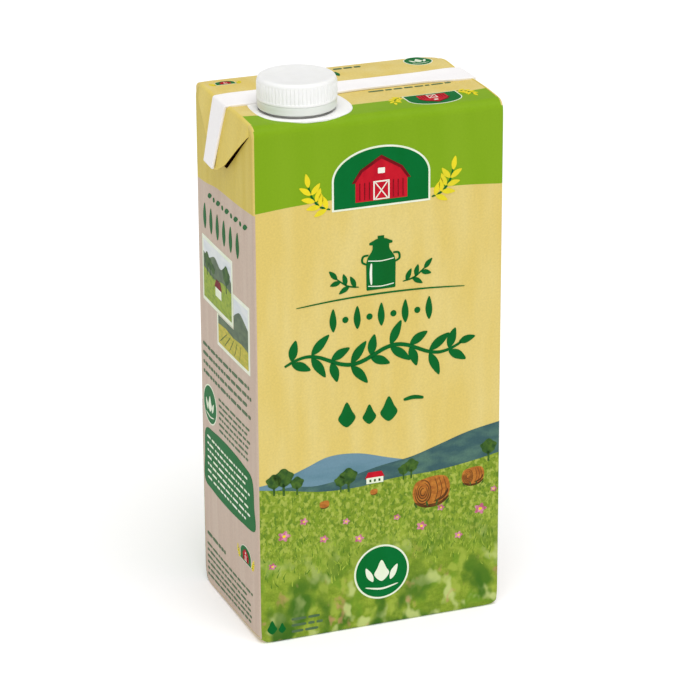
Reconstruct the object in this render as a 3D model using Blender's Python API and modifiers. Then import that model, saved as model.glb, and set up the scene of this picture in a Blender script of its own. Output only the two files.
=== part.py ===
# One litre milk carton with a folded top, leaning side ears and a ribbed screw cap.
# Metres, +Z up. The origin is at the middle of the base; the front panel faces -Y.

import math

import bmesh
import bpy
from mathutils import Matrix

NAME = "milk_carton"

# Carton body
WIDTH = 0.0924           # left to right
DEPTH = 0.060            # front to back
HEIGHT = 0.1927          # floor to the flat top, without the fin
TOP_FOLD = 0.0035        # radius of the front and back top folds
BASE_FOLD = 0.0030       # radius of the front and back base folds
SIDE_EDGE = 0.0009       # radius round each side panel
BASE_LIFT = 0.0005       # the base panel is this far above the folded base flaps

# Top seal fin, folded flat towards the back, and its ends on the ears
FIN_WIDTH = 0.0135
FIN_THICK = 0.0009
FIN_FRONT_Y = -0.0044    # the fin's front edge, a little in front of the middle line
FIN_BEND = 0.0012        # radius where the fin bends down over the side

# Ears: triangular flaps hinged at the top side edges
EAR_DROP = 0.0229        # from the flat top down to the ear's tip
EAR_OUT = 0.0043         # the fin end's outer face at the tip, out from the side panel
EAR_THICK = 0.0009
EAR_HALF = 0.0288        # half the ear's length along the top edge
FIN_BACK_TUCK = 0.0012   # the fin end's back edge lies this much closer to the panel

# Base flaps and base seam
FLAP_REACH = 0.029       # how far the triangular base flaps reach inwards
FLAP_HALF = 0.0265
SEAM_Y = (-0.003, 0.0105)
SEAM_HALF = 0.0445

# Spout: a rounded-square flange laid on the top, with a short neck
FLANGE_X, FLANGE_Y = -0.0223, -0.0116
FLANGE_HALF = 0.0174
FLANGE_POWER = 2.5       # 2 would be a circle; more is squarer
FLANGE_TOP = 0.1930
FLANGE_THICK = 0.0006
AXIS_X, AXIS_Y = -0.0240, -0.01335
NECK_R = 0.0117
NECK_TOP = 0.1970
GAP = 0.0003             # clearance between neighbouring pieces

# Tamper band and cap
BAND_BOTTOM, BAND_TOP = 0.19375, 0.19720
BAND_R, BAND_BORE = 0.01385, 0.01205
CAP_BOTTOM, CAP_TOP = 0.19750, 0.20485
CAP_R = 0.01395
CAP_TOP_R = 0.0125
CAP_SHOULDER = 0.00125
LIP_TOP = 0.1984         # the smooth lip below the ribs
RIBS = 64
RIB_DEPTH = 0.00022


def clear_scene():
    for obj in list(bpy.data.objects):
        bpy.data.objects.remove(obj, do_unlink=True)


def new_collection(name):
    coll = bpy.data.collections.new(name)
    bpy.context.scene.collection.children.link(coll)
    return coll


def material(name, rgb, roughness, metallic=0.0):
    mat = bpy.data.materials.new(name)
    mat.use_nodes = True
    shader = mat.node_tree.nodes["Principled BSDF"]
    shader.inputs["Base Color"].default_value = (*rgb, 1.0)
    shader.inputs["Roughness"].default_value = roughness
    shader.inputs["Metallic"].default_value = metallic
    return mat


def from_bmesh(name, bm, coll, mat=None):
    bmesh.ops.recalc_face_normals(bm, faces=bm.faces)
    mesh = bpy.data.meshes.new(name)
    bm.to_mesh(mesh)
    bm.free()
    obj = bpy.data.objects.new(name, mesh)
    coll.objects.link(obj)
    if mat:
        mesh.materials.append(mat)
    return obj


def bake(obj):
    """Replace an object's mesh with its evaluated, welded mesh and drop the modifiers."""
    graph = bpy.context.evaluated_depsgraph_get()
    mesh = bpy.data.meshes.new_from_object(obj.evaluated_get(graph))
    bm = bmesh.new()
    bm.from_mesh(mesh)
    bmesh.ops.remove_doubles(bm, verts=bm.verts, dist=1e-6)
    bm.to_mesh(mesh)
    bm.free()
    if obj.type == "MESH":
        obj.modifiers.clear()
        obj.data = mesh
        return obj
    coll = obj.users_collection[0]
    solid = bpy.data.objects.new(obj.name + "_solid", mesh)
    solid.matrix_world = obj.matrix_world
    coll.objects.link(solid)
    bpy.data.objects.remove(obj, do_unlink=True)
    return solid


def as_cutter(obj):
    obj.hide_render = True
    obj.display_type = "WIRE"
    return obj


def boolean(obj, other, operation):
    mod = obj.modifiers.new(operation.lower() + "_" + other.name, "BOOLEAN")
    mod.operation = operation
    mod.solver = "EXACT"
    mod.object = other


def cylinder(name, x, y, z0, z1, radius, coll, sides=96, mat=None):
    bm = bmesh.new()
    bmesh.ops.create_cone(bm, cap_ends=True, segments=sides, radius1=radius, radius2=radius,
                          depth=z1 - z0)
    bmesh.ops.translate(bm, verts=bm.verts, vec=(x, y, (z0 + z1) / 2))
    return from_bmesh(name, bm, coll, mat)


def outline(name, points, thickness, coll):
    """A flat closed outline, extruded evenly to both sides of its own plane."""
    data = bpy.data.curves.new(name, "CURVE")
    data.dimensions = "2D"
    data.fill_mode = "BOTH"
    data.extrude = thickness / 2
    spline = data.splines.new("POLY")
    spline.points.add(len(points) - 1)
    for point, (px, py) in zip(spline.points, points):
        point.co = (px, py, 0.0, 1.0)
    spline.use_cyclic_u = True
    obj = bpy.data.objects.new(name, data)
    coll.objects.link(obj)
    return obj


def arc(cx, cy, radius, start, end, steps):
    return [(cx + radius * math.cos(math.radians(start + (end - start) * i / steps)),
             cy + radius * math.sin(math.radians(start + (end - start) * i / steps)))
            for i in range(steps + 1)]


def flange_plate(name, grow, z0, z1, coll):
    """The flange's rounded-square outline, grown evenly, as a plate between two heights."""
    points = []
    for i in range(96):
        turn = 2 * math.pi * i / 96
        c, s = math.cos(turn), math.sin(turn)
        squareness = (abs(c) ** FLANGE_POWER + abs(s) ** FLANGE_POWER) ** (-1 / FLANGE_POWER)
        reach = FLANGE_HALF * squareness + grow
        points.append((reach * c, reach * s))
    obj = outline(name, points, z1 - z0, coll)
    obj.matrix_world = Matrix.Translation((FLANGE_X, FLANGE_Y, (z0 + z1) / 2))
    bpy.context.view_layer.update()
    return bake(obj)


def box_body(coll, mat):
    """The panels' side outline with its four folds, drawn across the carton's full width
    with a small radius round each side panel."""
    front, back = -DEPTH / 2, DEPTH / 2
    points = arc(front + BASE_FOLD, BASE_LIFT + BASE_FOLD, BASE_FOLD, 270, 180, 6)
    points += arc(front + TOP_FOLD, HEIGHT - TOP_FOLD, TOP_FOLD, 180, 90, 7)
    points += arc(back - TOP_FOLD, HEIGHT - TOP_FOLD, TOP_FOLD, 90, 0, 7)
    points += arc(back - BASE_FOLD, BASE_LIFT + BASE_FOLD, BASE_FOLD, 0, -90, 6)
    obj = outline("carton", points, WIDTH - 2 * SIDE_EDGE, coll)
    obj.data.bevel_depth = SIDE_EDGE
    obj.data.bevel_resolution = 3
    obj.data.offset = -SIDE_EDGE
    # outline x is the carton's Y, outline y is its Z, and the extrusion runs along X
    obj.matrix_world = Matrix(((0, 0, 1, 0), (1, 0, 0, 0), (0, 1, 0, 0), (0, 0, 0, 1)))
    bpy.context.view_layer.update()
    solid = bake(obj)
    solid.name = "carton"
    solid.data.materials.clear()
    solid.data.materials.append(mat)
    return solid


def ear(side, coll):
    """A thin triangular flap hinged at the top side edge, leaning out from the side panel."""
    inner_out = EAR_OUT - FIN_THICK
    lean = math.atan2(inner_out, EAR_DROP)
    length = math.hypot(inner_out, EAR_DROP)
    tip = 0.0008
    points = [(-EAR_HALF, 0.0), (-tip, -length + tip * 0.8), (tip, -length + tip * 0.8),
              (EAR_HALF, 0.0)]
    obj = outline("ear_%s" % ("right" if side > 0 else "left"), points, EAR_THICK, coll)
    # outline x runs along the carton's Y, outline y up the flap, the extrusion across it
    stand = Matrix(((0, 0, 1, 0), (1, 0, 0, 0), (0, 1, 0, 0), (0, 0, 0, 1)))
    outer_face = Matrix.Translation((-side * EAR_THICK / 2, 0, 0))
    turn = Matrix.Rotation(-side * lean, 4, "Y")
    hinge = Matrix.Translation((side * WIDTH / 2, 0, HEIGHT - 0.0004))
    obj.matrix_world = hinge @ turn @ outer_face @ stand
    bpy.context.view_layer.update()
    return bake(obj)


def fin(coll):
    """The sealed strip: flat along the top and bent down over both ears."""
    half = WIDTH / 2
    top, out = HEIGHT + FIN_THICK, EAR_OUT
    lean = math.degrees(math.atan2(out, EAR_DROP))
    bend_x = half - FIN_BEND + 0.0002
    bend_z = top - FIN_BEND
    outer = [(half + out, HEIGHT - EAR_DROP - 0.0001)]
    outer += arc(bend_x, bend_z, FIN_BEND, lean, 90, 6)
    inner_r = FIN_BEND - FIN_THICK - 0.0001
    inner = [(half + out - FIN_THICK - 0.0001, HEIGHT - EAR_DROP - 0.0001)]
    inner += arc(bend_x, bend_z, inner_r, lean, 90, 3)
    mirrored = [(-x, z) for x, z in outer]
    points = outer + mirrored[::-1] + [(-x, z) for x, z in inner] + inner[::-1]
    obj = outline("fin", points, FIN_WIDTH, coll)
    # outline x is the carton's X, outline y is its Z, and the extrusion runs along Y
    stand = Matrix(((1, 0, 0, 0), (0, 0, -1, 0), (0, 1, 0, 0), (0, 0, 0, 1)))
    obj.matrix_world = Matrix.Translation((0, FIN_FRONT_Y + FIN_WIDTH / 2, 0)) @ stand
    bpy.context.view_layer.update()
    solid = bake(obj)
    # the back corners of the fin's ends are tucked closer to the side panels
    to_local = solid.matrix_world.inverted()
    for vert in solid.data.vertices:
        at = solid.matrix_world @ vert.co
        if at.z < HEIGHT - 0.5 * EAR_DROP and at.y > FIN_FRONT_Y + 0.5 * FIN_WIDTH:
            at.x -= math.copysign(FIN_BACK_TUCK, at.x)
            at.z -= 0.0008
            vert.co = to_local @ at
    return solid


def base_flap(side, coll):
    """A triangular flap folded under the base, standing proud of the base panel."""
    half = WIDTH / 2 - 0.0016
    points = [(side * half, -FLAP_HALF), (side * half, FLAP_HALF),
              (side * (half - FLAP_REACH), 0.0)]
    obj = outline("base_flap_%s" % ("right" if side > 0 else "left"), points, 2 * BASE_LIFT, coll)
    obj.matrix_world = Matrix.Translation((0, 0, BASE_LIFT))
    bpy.context.view_layer.update()
    return bake(obj)


def base_seam(coll):
    bm = bmesh.new()
    bmesh.ops.create_cube(bm, size=1.0)
    bmesh.ops.scale(bm, vec=(2 * SEAM_HALF, SEAM_Y[1] - SEAM_Y[0], 2 * BASE_LIFT), verts=bm.verts)
    bmesh.ops.translate(bm, vec=(0, (SEAM_Y[0] + SEAM_Y[1]) / 2, BASE_LIFT), verts=bm.verts)
    return from_bmesh("base_seam", bm, coll)


def carton(coll, tools, mat):
    body = box_body(coll, mat)
    joined = new_collection("carton_folds")
    added = [ear(-1, joined), ear(1, joined), fin(joined), base_flap(-1, joined),
             base_flap(1, joined), base_seam(joined)]
    union = body.modifiers.new("folds", "BOOLEAN")
    union.operation = "UNION"
    union.solver = "EXACT"
    union.operand_type = "COLLECTION"
    union.collection = joined
    bake(body)
    for obj in added:
        bpy.data.objects.remove(obj, do_unlink=True)
    bpy.data.collections.remove(joined)

    # shallow seat for the spout's flange, cut through the fin's front edge too
    seat = flange_plate("seat", GAP, FLANGE_TOP - FLANGE_THICK - GAP, HEIGHT + 0.004, tools)
    boolean(body, as_cutter(seat), "DIFFERENCE")
    return bake(body)


def spout_flange(coll, mat):
    flange = flange_plate("spout_flange", 0.0, FLANGE_TOP - FLANGE_THICK, FLANGE_TOP, coll)
    flange.name = "spout_flange"
    scrap = new_collection("scrap")
    neck = cylinder("neck", AXIS_X, AXIS_Y, FLANGE_TOP - 0.0004, NECK_TOP, NECK_R, scrap, 64)
    boolean(flange, neck, "UNION")
    bake(flange)
    bpy.data.objects.remove(neck, do_unlink=True)
    bpy.data.collections.remove(scrap)
    flange.data.materials.clear()
    flange.data.materials.append(mat)
    return flange


def turned(name, profile, steps, coll, mat):
    """Turn a profile about the spout's axis; the profile runs at +X from top to bottom."""
    mesh = bpy.data.meshes.new(name)
    mesh.from_pydata([(r, 0.0, z) for r, z in profile], [(i, i + 1) for i in range(len(profile) - 1)],
                     [])
    obj = bpy.data.objects.new(name, mesh)
    coll.objects.link(obj)
    obj.location = (AXIS_X, AXIS_Y, 0.0)
    screw = obj.modifiers.new("turn", "SCREW")
    screw.steps = screw.render_steps = steps
    screw.use_merge_vertices = True
    screw.merge_threshold = 1e-6
    screw.use_smooth_shade = False
    mesh.materials.append(mat)
    return obj


def tamper_band(coll, mat):
    edge = 0.0003
    profile = [(BAND_BORE, BAND_TOP), (BAND_R - edge, BAND_TOP), (BAND_R, BAND_TOP - edge),
               (BAND_R, BAND_BOTTOM + edge), (BAND_R - edge, BAND_BOTTOM),
               (BAND_BORE, BAND_BOTTOM), (BAND_BORE, BAND_TOP)]
    return turned("tamper_band", profile, 96, coll, mat)


def cap(coll, mat):
    """A solid cap with fine upright ribs above a smooth lip, and a rounded shoulder."""
    bm = bmesh.new()
    count = 2 * RIBS
    levels = [(CAP_BOTTOM, CAP_R, 0.0), (LIP_TOP, CAP_R, 0.0),
              (LIP_TOP + RIB_DEPTH, CAP_R - 0.0001, RIB_DEPTH),
              (CAP_TOP - CAP_SHOULDER, CAP_R - 0.0001, RIB_DEPTH)]
    for angle in (30, 60, 90):
        a = math.radians(angle)
        levels.append((CAP_TOP - CAP_SHOULDER * (1 - math.sin(a)),
                       CAP_TOP_R + (CAP_R - 0.0001 - CAP_TOP_R) * math.cos(a),
                       RIB_DEPTH if angle == 30 else 0.0))
    bmesh.ops.create_cone(bm, cap_ends=True, segments=count, radius1=CAP_R, radius2=CAP_R,
                          depth=1.0)
    # cut the cone's wall into the cap's levels, then move each ring to its place
    heights = [i / (len(levels) - 1) - 0.5 for i in range(len(levels))]
    for height in heights[1:-1]:
        bmesh.ops.bisect_plane(bm, geom=bm.verts[:] + bm.edges[:] + bm.faces[:],
                               plane_co=(0, 0, height), plane_no=(0, 0, 1))
    for vert in bm.verts:
        z, radius, depth = levels[round((vert.co.z + 0.5) * (len(levels) - 1))]
        turn = math.atan2(vert.co.y, vert.co.x)
        if round(turn / (2 * math.pi) * count) % 2:
            radius -= depth
        vert.co = (radius * math.cos(turn), radius * math.sin(turn), z)
    obj = from_bmesh("cap", bm, coll, mat)
    obj.location = (AXIS_X, AXIS_Y, 0.0)
    return obj


def main():
    clear_scene()
    coll = new_collection(NAME)
    tools = new_collection(NAME + "_cutters")
    board = material("coated_carton_board", (0.23, 0.42, 0.03), 0.42)
    flange_plastic = material("white_flange_plastic", (0.88, 0.89, 0.86), 0.35)
    cap_plastic = material("white_cap_plastic", (0.82, 0.84, 0.80), 0.35)
    band_plastic = material("white_band_plastic", (0.78, 0.82, 0.74), 0.38)

    carton(coll, tools, board)
    spout_flange(coll, flange_plastic)
    band = tamper_band(coll, band_plastic)
    lid = cap(coll, cap_plastic)
    for obj in (band, lid):
        obj.data.shade_smooth()
        obj.data.set_sharp_from_angle(angle=math.radians(25))


main()
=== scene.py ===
import math
import random

import bmesh
import bpy
from mathutils import Matrix, Vector
from mathutils.geometry import delaunay_2d_cdt


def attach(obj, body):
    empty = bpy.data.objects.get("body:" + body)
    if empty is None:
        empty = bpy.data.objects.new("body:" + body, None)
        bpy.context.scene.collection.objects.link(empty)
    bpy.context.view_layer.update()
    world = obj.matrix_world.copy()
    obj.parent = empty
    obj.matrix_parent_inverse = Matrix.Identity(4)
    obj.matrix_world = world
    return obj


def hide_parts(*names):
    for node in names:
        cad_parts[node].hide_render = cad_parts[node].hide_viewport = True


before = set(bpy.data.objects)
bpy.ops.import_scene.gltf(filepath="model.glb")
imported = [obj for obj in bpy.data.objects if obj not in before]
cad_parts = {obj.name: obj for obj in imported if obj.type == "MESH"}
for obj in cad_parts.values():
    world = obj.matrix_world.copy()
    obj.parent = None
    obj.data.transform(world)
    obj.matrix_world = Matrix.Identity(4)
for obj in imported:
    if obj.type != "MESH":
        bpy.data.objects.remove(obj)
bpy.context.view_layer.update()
MM = 0.001

# ---------------------------------------------------------------- sizes, as in the CAD source
HALF_W, HALF_D, HEIGHT = 46.2, 30.0, 192.7
TOP_FOLD, BASE_FOLD, SIDE_EDGE = 3.5, 1.3, 0.9
FIN_FRONT, FIN_WIDTH, FIN_THICK = -4.4, 13.5, 0.9
EAR_DROP, EAR_OUT, EAR_HALF = 22.9, 4.3, 27.4
FLANGE_X, FLANGE_Y, FLANGE_HALF, FLANGE_POWER = -22.3, -11.6, 17.4, 2.5
FLANGE_TOP, FLANGE_THICK = 193.0, 0.6
AXIS_X, AXIS_Y = -24.0, -13.35
NECK_R, NECK_TOP = 11.7, 197.0
BAND_BOTTOM, BAND_TOP, BAND_R, BAND_BORE = 193.40, 196.75, 13.85, 12.05
CAP_BOTTOM, CAP_TOP, CAP_R, LIP_TOP = 197.05, 204.85, 13.95, 197.65
RIBS = 64

# Distances along the board, measured up the front panel, over the top and down the back
ARC_TOP = TOP_FOLD * math.pi / 2
ARC_BASE = BASE_FOLD * math.pi / 2
FRONT_LOW = BASE_FOLD
FRONT_HIGH = HEIGHT - TOP_FOLD
TOP_START = FRONT_HIGH + ARC_TOP
TOP_END = TOP_START + 2 * (HALF_D - TOP_FOLD)
BACK_HIGH = TOP_END + ARC_TOP
BACK_LOW = BACK_HIGH + FRONT_HIGH - FRONT_LOW
BASE_START = BACK_LOW + ARC_BASE
BASE_END = BASE_START + 2 * (HALF_D - BASE_FOLD)
SHEET_START = FRONT_LOW - ARC_BASE
LOOP_LENGTH = BASE_END - SHEET_START
FLAT_X = HALF_W - SIDE_EDGE
EDGE_X = FLAT_X + SIDE_EDGE * math.pi / 2


# ---------------------------------------------------------------- small helpers
def srgb(code):
    """A colour given as it looks on screen, turned to linear."""
    parts = [int(code[i:i + 2], 16) / 255 for i in (1, 3, 5)]
    return tuple(p / 12.92 if p <= 0.04045 else ((p + 0.055) / 1.055) ** 2.4
                 for p in parts) + (1.0,)


def add(tree, kind, inputs=(), **settings):
    """One node, with its settings, its values and the links into it."""
    made = tree.nodes.new(kind)
    for name, value in settings.items():
        setattr(made, name, value)
    for key, value in dict(inputs).items():
        if isinstance(value, bpy.types.NodeSocket):
            tree.links.new(value, made.inputs[key])
        else:
            made.inputs[key].default_value = value
    return made


def geometry_tree(name, inputs):
    """A new Geometry Nodes tree, its inputs' identifiers by name, and its input sockets."""
    tree = bpy.data.node_groups.new(name, "GeometryNodeTree")
    ids = {label: tree.interface.new_socket(label, in_out="INPUT",
                                            socket_type="NodeSocket" + kind).identifier
           for label, kind in inputs}
    tree.interface.new_socket("Geometry", in_out="OUTPUT", socket_type="NodeSocketGeometry")
    return tree, ids, add(tree, "NodeGroupInput").outputs


def soft(low, high, value):
    """0 at the low value, 1 at the high one, and a smooth step between."""
    t = min(1.0, max(0.0, (value - low) / (high - low)))
    return t * t * (3 - 2 * t)


def steps(start, stop, largest):
    """Even steps between two values, none larger than a given size."""
    count = max(1, math.ceil(abs(stop - start) / largest - 1e-9))
    return [start + (stop - start) * i / count for i in range(count + 1)]


def smooth(obj, sharp_degrees=0):
    """Smooth shading, but for edges that turn by more than an angle, where one is given."""
    obj.data.shade_smooth()
    if sharp_degrees:
        obj.data.set_sharp_from_angle(angle=math.radians(sharp_degrees))


def new_piece(name, verts, faces, mat, sharp_degrees=0):
    """A mesh object from points in millimetres, standing where its points say."""
    mesh = bpy.data.meshes.new(name)
    mesh.from_pydata([(x * MM, y * MM, z * MM) for x, y, z in verts], [], faces)
    mesh.validate()
    if mat:
        mesh.materials.append(mat)
    obj = bpy.data.objects.new(name, mesh)
    bpy.context.scene.collection.objects.link(obj)
    smooth(obj, sharp_degrees)
    return obj


def settle_modifiers(obj):
    """The object's finished mesh in place of its modifiers."""
    graph = bpy.context.evaluated_depsgraph_get()
    mesh = bpy.data.meshes.new_from_object(obj.evaluated_get(graph))
    obj.modifiers.clear()
    obj.data = mesh


def face_outwards(obj, weld=0.0):
    """Turns every face outwards, after merging doubles and dropping loose points."""
    bm = bmesh.new()
    bm.from_mesh(obj.data)
    if weld:
        bmesh.ops.remove_doubles(bm, verts=bm.verts, dist=weld * MM)
        bmesh.ops.delete(bm, geom=[v for v in bm.verts if not v.link_faces], context="VERTS")
    bmesh.ops.recalc_face_normals(bm, faces=bm.faces)
    bm.to_mesh(obj.data)
    bm.free()


def carry(obj, slot_name, *nodes):
    """The piece rides with the carton and may stand for CAD nodes; the slot name it is given is
    not used.
    """
    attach(obj, "root")
    if nodes:
        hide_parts(*nodes)
    return obj


# ---------------------------------------------------------------- the board's shape
BULGE_WIDE, BULGE_DEEP, TOP_RISE, BACK_FOLD_PUSH = 0.40, 0.20, 0.55, 0.75
SEAT_DEPTH, BASE_HOLLOW, FOOT_LIFT_LEFT, FOOT_LIFT_RIGHT = 1.3, 0.5, 0.024, 0.012
# dents of the corners: which side, front or back, whether at the top, reach, depth
CORNER_DENTS = ((-1, 1, True, 6.0, 0.5), (1, 1, True, 9.0, 2.0), (1, -1, True, 6.0, 0.3),
                (-1, -1, True, 6.0, 0.3), (-1, -1, False, 6.0, 0.7), (1, -1, False, 6.0, 0.5),
                (-1, 1, False, 6.0, 0.9), (1, 1, False, 6.0, 0.9))


def relax(x, y, z):
    """How filled, handled board departs from a true box: slightly full panels, softened
    corners, a top that rides up behind the fin, side panels whose foot lifts to the front,
    a base that is hollow inside its edges, and a seat for the spout's flange."""
    sx, sy, sz = x / HALF_W, y / HALF_D, (z - 96.0) / 96.7
    full = max(0.0, 1 - sz ** 4)
    nx = x + BULGE_WIDE * sx * max(0.0, 1 - sy * sy) * full
    ny = y * 1.003 + BULGE_DEEP * sy * max(0.0, 1 - sx * sx) * full
    near_top = soft(176.0, 192.0, z)
    nz = z + near_top * (TOP_RISE * soft(8.0, 20.0, y) * (1 - 0.6 * soft(22.0, 30.0, y))
                         + TOP_RISE * abs(sx) ** 6 * soft(-29.0, -14.0, y) * soft(2.0, -8.0, y))
    nz -= SEAT_DEPTH * soft(HEIGHT - 3, HEIGHT - 0.5, z) * soft(
        16.0, 12.5, math.hypot(x - AXIS_X, y - AXIS_Y))
    nz += ((FOOT_LIFT_LEFT if x < 0 else FOOT_LIFT_RIGHT) * (HALF_D - y) * soft(12.0, 0.0, z)
           * soft(43.5, HALF_W, abs(x)))
    if z < 1.0:
        nz += BASE_HOLLOW * soft(0.0, 4.0, min(HALF_D - abs(y), HALF_W - abs(x)))
    fold_y, fold_z = y - HALF_D + TOP_FOLD, z - HEIGHT + TOP_FOLD
    if fold_y > 0 and fold_z > 0:
        turn = math.atan2(fold_z, fold_y)
        ny += BACK_FOLD_PUSH * math.sin(2 * turn) ** 2 * math.cos(turn)
        nz += BACK_FOLD_PUSH * math.sin(2 * turn) ** 2 * math.sin(turn)
    for side_x, side_y, top, reach, depth in CORNER_DENTS:
        ex = min(1.0, max(0.0, (side_x * x - HALF_W + reach) / reach))
        ey = min(1.0, max(0.0, (side_y * y - HALF_D + reach) / reach))
        ez = min(1.0, max(0.0, ((z - HEIGHT) if top else -z) / reach + 1))
        pull = depth * (ex * ey * ez) ** 1.4 / math.sqrt(3)
        nx -= side_x * pull
        ny -= side_y * pull
        nz += -pull if top else pull
    return nx, ny, nz


def profile(t, inset):
    """Point and outward direction (y, z) on the board's outline, inset evenly."""
    t = (t - SHEET_START) % LOOP_LENGTH + SHEET_START
    front, back = -HALF_D, HALF_D
    if t < FRONT_LOW:
        a = (FRONT_LOW - t) / BASE_FOLD
        ny, nz = -math.cos(a), -math.sin(a)
        cy, cz, r = front + BASE_FOLD, BASE_FOLD, BASE_FOLD
    elif t <= FRONT_HIGH:
        return (front + inset, t), (-1.0, 0.0)
    elif t < TOP_START:
        a = (t - FRONT_HIGH) / TOP_FOLD
        ny, nz = -math.cos(a), math.sin(a)
        cy, cz, r = front + TOP_FOLD, HEIGHT - TOP_FOLD, TOP_FOLD
    elif t <= TOP_END:
        return (front + TOP_FOLD + t - TOP_START, HEIGHT - inset), (0.0, 1.0)
    elif t < BACK_HIGH:
        a = (t - TOP_END) / TOP_FOLD
        ny, nz = math.sin(a), math.cos(a)
        cy, cz, r = back - TOP_FOLD, HEIGHT - TOP_FOLD, TOP_FOLD
    elif t <= BACK_LOW:
        return (back - inset, FRONT_HIGH - (t - BACK_HIGH)), (1.0, 0.0)
    elif t < BASE_START:
        a = (t - BACK_LOW) / BASE_FOLD
        ny, nz = math.cos(a), -math.sin(a)
        cy, cz, r = back - BASE_FOLD, BASE_FOLD, BASE_FOLD
    else:
        return (back - BASE_FOLD - (t - BASE_START), inset), (0.0, -1.0)
    return (cy + (r - inset) * ny, cz + (r - inset) * nz), (ny, nz)


def wrap_point(x, t, lift):
    """A point of the sheet that runs up the front, over the top, down the back and under
    the base; past the flat part it rolls round the side panel's edge."""
    a = max(0.0, (abs(x) - FLAT_X) / SIDE_EDGE)
    (py, pz), (ny, nz) = profile(t, SIDE_EDGE * (1 - math.cos(a)))
    px = math.copysign(min(abs(x), FLAT_X) + SIDE_EDGE * math.sin(a), x)
    reach = lift * math.cos(a)
    return relax(px + math.copysign(lift * math.sin(a), x), py + reach * ny, pz + reach * nz)


def side_point(side, y, z, lift):
    """A point on a side panel, or lifted off it."""
    return relax(side * (HALF_W + lift), y, z)


def board_lines():
    """The sheet's grid: finer at the folds and near the corners."""
    xs = ([-EDGE_X + SIDE_EDGE * math.pi / 2 * i / 4 for i in range(4)]
          + steps(-FLAT_X, -34.0, 1.0)[:-1] + steps(-34.0, 34.0, 2.0)[:-1]
          + steps(34.0, FLAT_X, 1.0)
          + [EDGE_X - SIDE_EDGE * math.pi / 2 * i / 4 for i in range(3, -1, -1)])
    ts = (steps(SHEET_START, FRONT_LOW, 0.45)[:-1] + steps(FRONT_LOW, 12, 1.0)[:-1]
          + steps(12, 178, 2.0)[:-1] + steps(178, FRONT_HIGH, 1.0)[:-1]
          + steps(FRONT_HIGH, TOP_START, 0.35)[:-1] + steps(TOP_START, TOP_END, 1.0)[:-1]
          + steps(TOP_END, BACK_HIGH, 0.35)[:-1] + steps(BACK_HIGH, BACK_HIGH + 12, 1.0)[:-1]
          + steps(BACK_HIGH + 12, BACK_LOW - 9, 2.0)[:-1]
          + steps(BACK_LOW - 9, BACK_LOW, 1.0)[:-1] + steps(BACK_LOW, BASE_START, 0.45)[:-1]
          + steps(BASE_START, BASE_END, 2.0)[:-1])
    return xs, ts


GRID_X, GRID_T = board_lines()
SIDE_Y = steps(-28, -16, 1.0)[:-1] + steps(-16, 16, 2.0)[:-1] + steps(16, 28, 1.0)
SIDE_Z = steps(3, 12, 1.0)[:-1] + steps(12, 166, 2.0)[:-1] + steps(166, 191, 1.0)


def within(loop, x, y):
    """Whether a point lies inside a closed outline."""
    crossings = 0
    for (x0, y0), (x1, y1) in zip(loop, loop[1:] + loop[:1]):
        if (y0 > y) != (y1 > y) and x < x0 + (x1 - x0) * (y - y0) / (y1 - y0):
            crossings += 1
    return crossings % 2 == 1


def triangles(loops, extra):
    """Flat triangles inside the first closed outline and outside the others, which are holes,
    through the extra points."""
    points, edges = [], []
    for loop in loops:
        first = len(points)
        points += [Vector(p) for p in loop]
        edges += [(first + i, first + (i + 1) % len(loop)) for i in range(len(loop))]
    points += [Vector(p) for p in extra]
    made = delaunay_2d_cdt(points, edges, [], 2, 1e-5)
    tris = []
    for face in made[2]:
        a, b, c = (made[0][i] for i in face)
        turn = (b - a).cross(c - a)
        middle = (a + b + c) / 3
        if abs(turn) > 1e-9 and not any(within(hole, *middle) for hole in loops[1:]):
            tris.append(tuple(face) if turn > 0 else tuple(reversed(face)))
    return [tuple(v) for v in made[0]], tris


def film(flat, tris, outer, inner, start=0):
    """A closed film over flat triangles: its outer and inner skins and the wall round them."""
    used = sorted({i for tri in tris for i in tri})
    place = {old: start + new for new, old in enumerate(used)}
    count = len(used)
    verts = [outer(*flat[i]) for i in used] + [inner(*flat[i]) for i in used]
    faces, seen = [], set()
    for tri in tris:
        a, b, c = (place[i] for i in tri)
        faces += [(a, b, c), (c + count, b + count, a + count)]
        seen |= {(a, b), (b, c), (c, a)}
    faces += [(b, a, a + count, b + count) for a, b in sorted(seen) if (b, a) not in seen]
    return verts, faces


CREASE_HALF, CREASE_TOP, CREASE_TIP = 28.2, 190.1, 167.9
CREASE_SLOPE = (CREASE_TOP - CREASE_TIP) / CREASE_HALF
POCKET_LOW, POCKET_HIGH = 170.9, 188.7


def pocket_outline():
    """The two creases on a side panel, above which the board folds in behind the ear."""
    foot, head = ((z - CREASE_TIP) / CREASE_SLOPE for z in (POCKET_LOW, POCKET_HIGH))
    corners = [(-head, POCKET_HIGH), (-foot, POCKET_LOW), (foot, POCKET_LOW), (head, POCKET_HIGH)]
    out = []
    for (y0, z0), (y1, z1), parts in zip(corners, corners[1:] + corners[:1], (34, 8, 34, 40)):
        out += [(y0 + (y1 - y0) * i / parts, z0 + (z1 - z0) * i / parts) for i in range(parts)]
    return out


def pocket_depth(y, z):
    """How far the side panel lies back at a place between the creases."""
    fall = CREASE_TOP - CREASE_TIP
    inside = ((CREASE_HALF - abs(y)) * fall + (z - CREASE_TOP) * CREASE_HALF) / math.hypot(
        fall, CREASE_HALF)
    return max(0.0, min(6.5, 3.0 * min(inside, 1.5 * (POCKET_HIGH - z), z - POCKET_LOW)))


SIDE_GRID = [(y, z) for y in SIDE_Y for z in SIDE_Z
             if min(HALF_D - abs(y), HEIGHT - z, z) > 1.6
             and not (abs(y) > 26 and (z > 188.5 or z < 4.5))]


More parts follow.
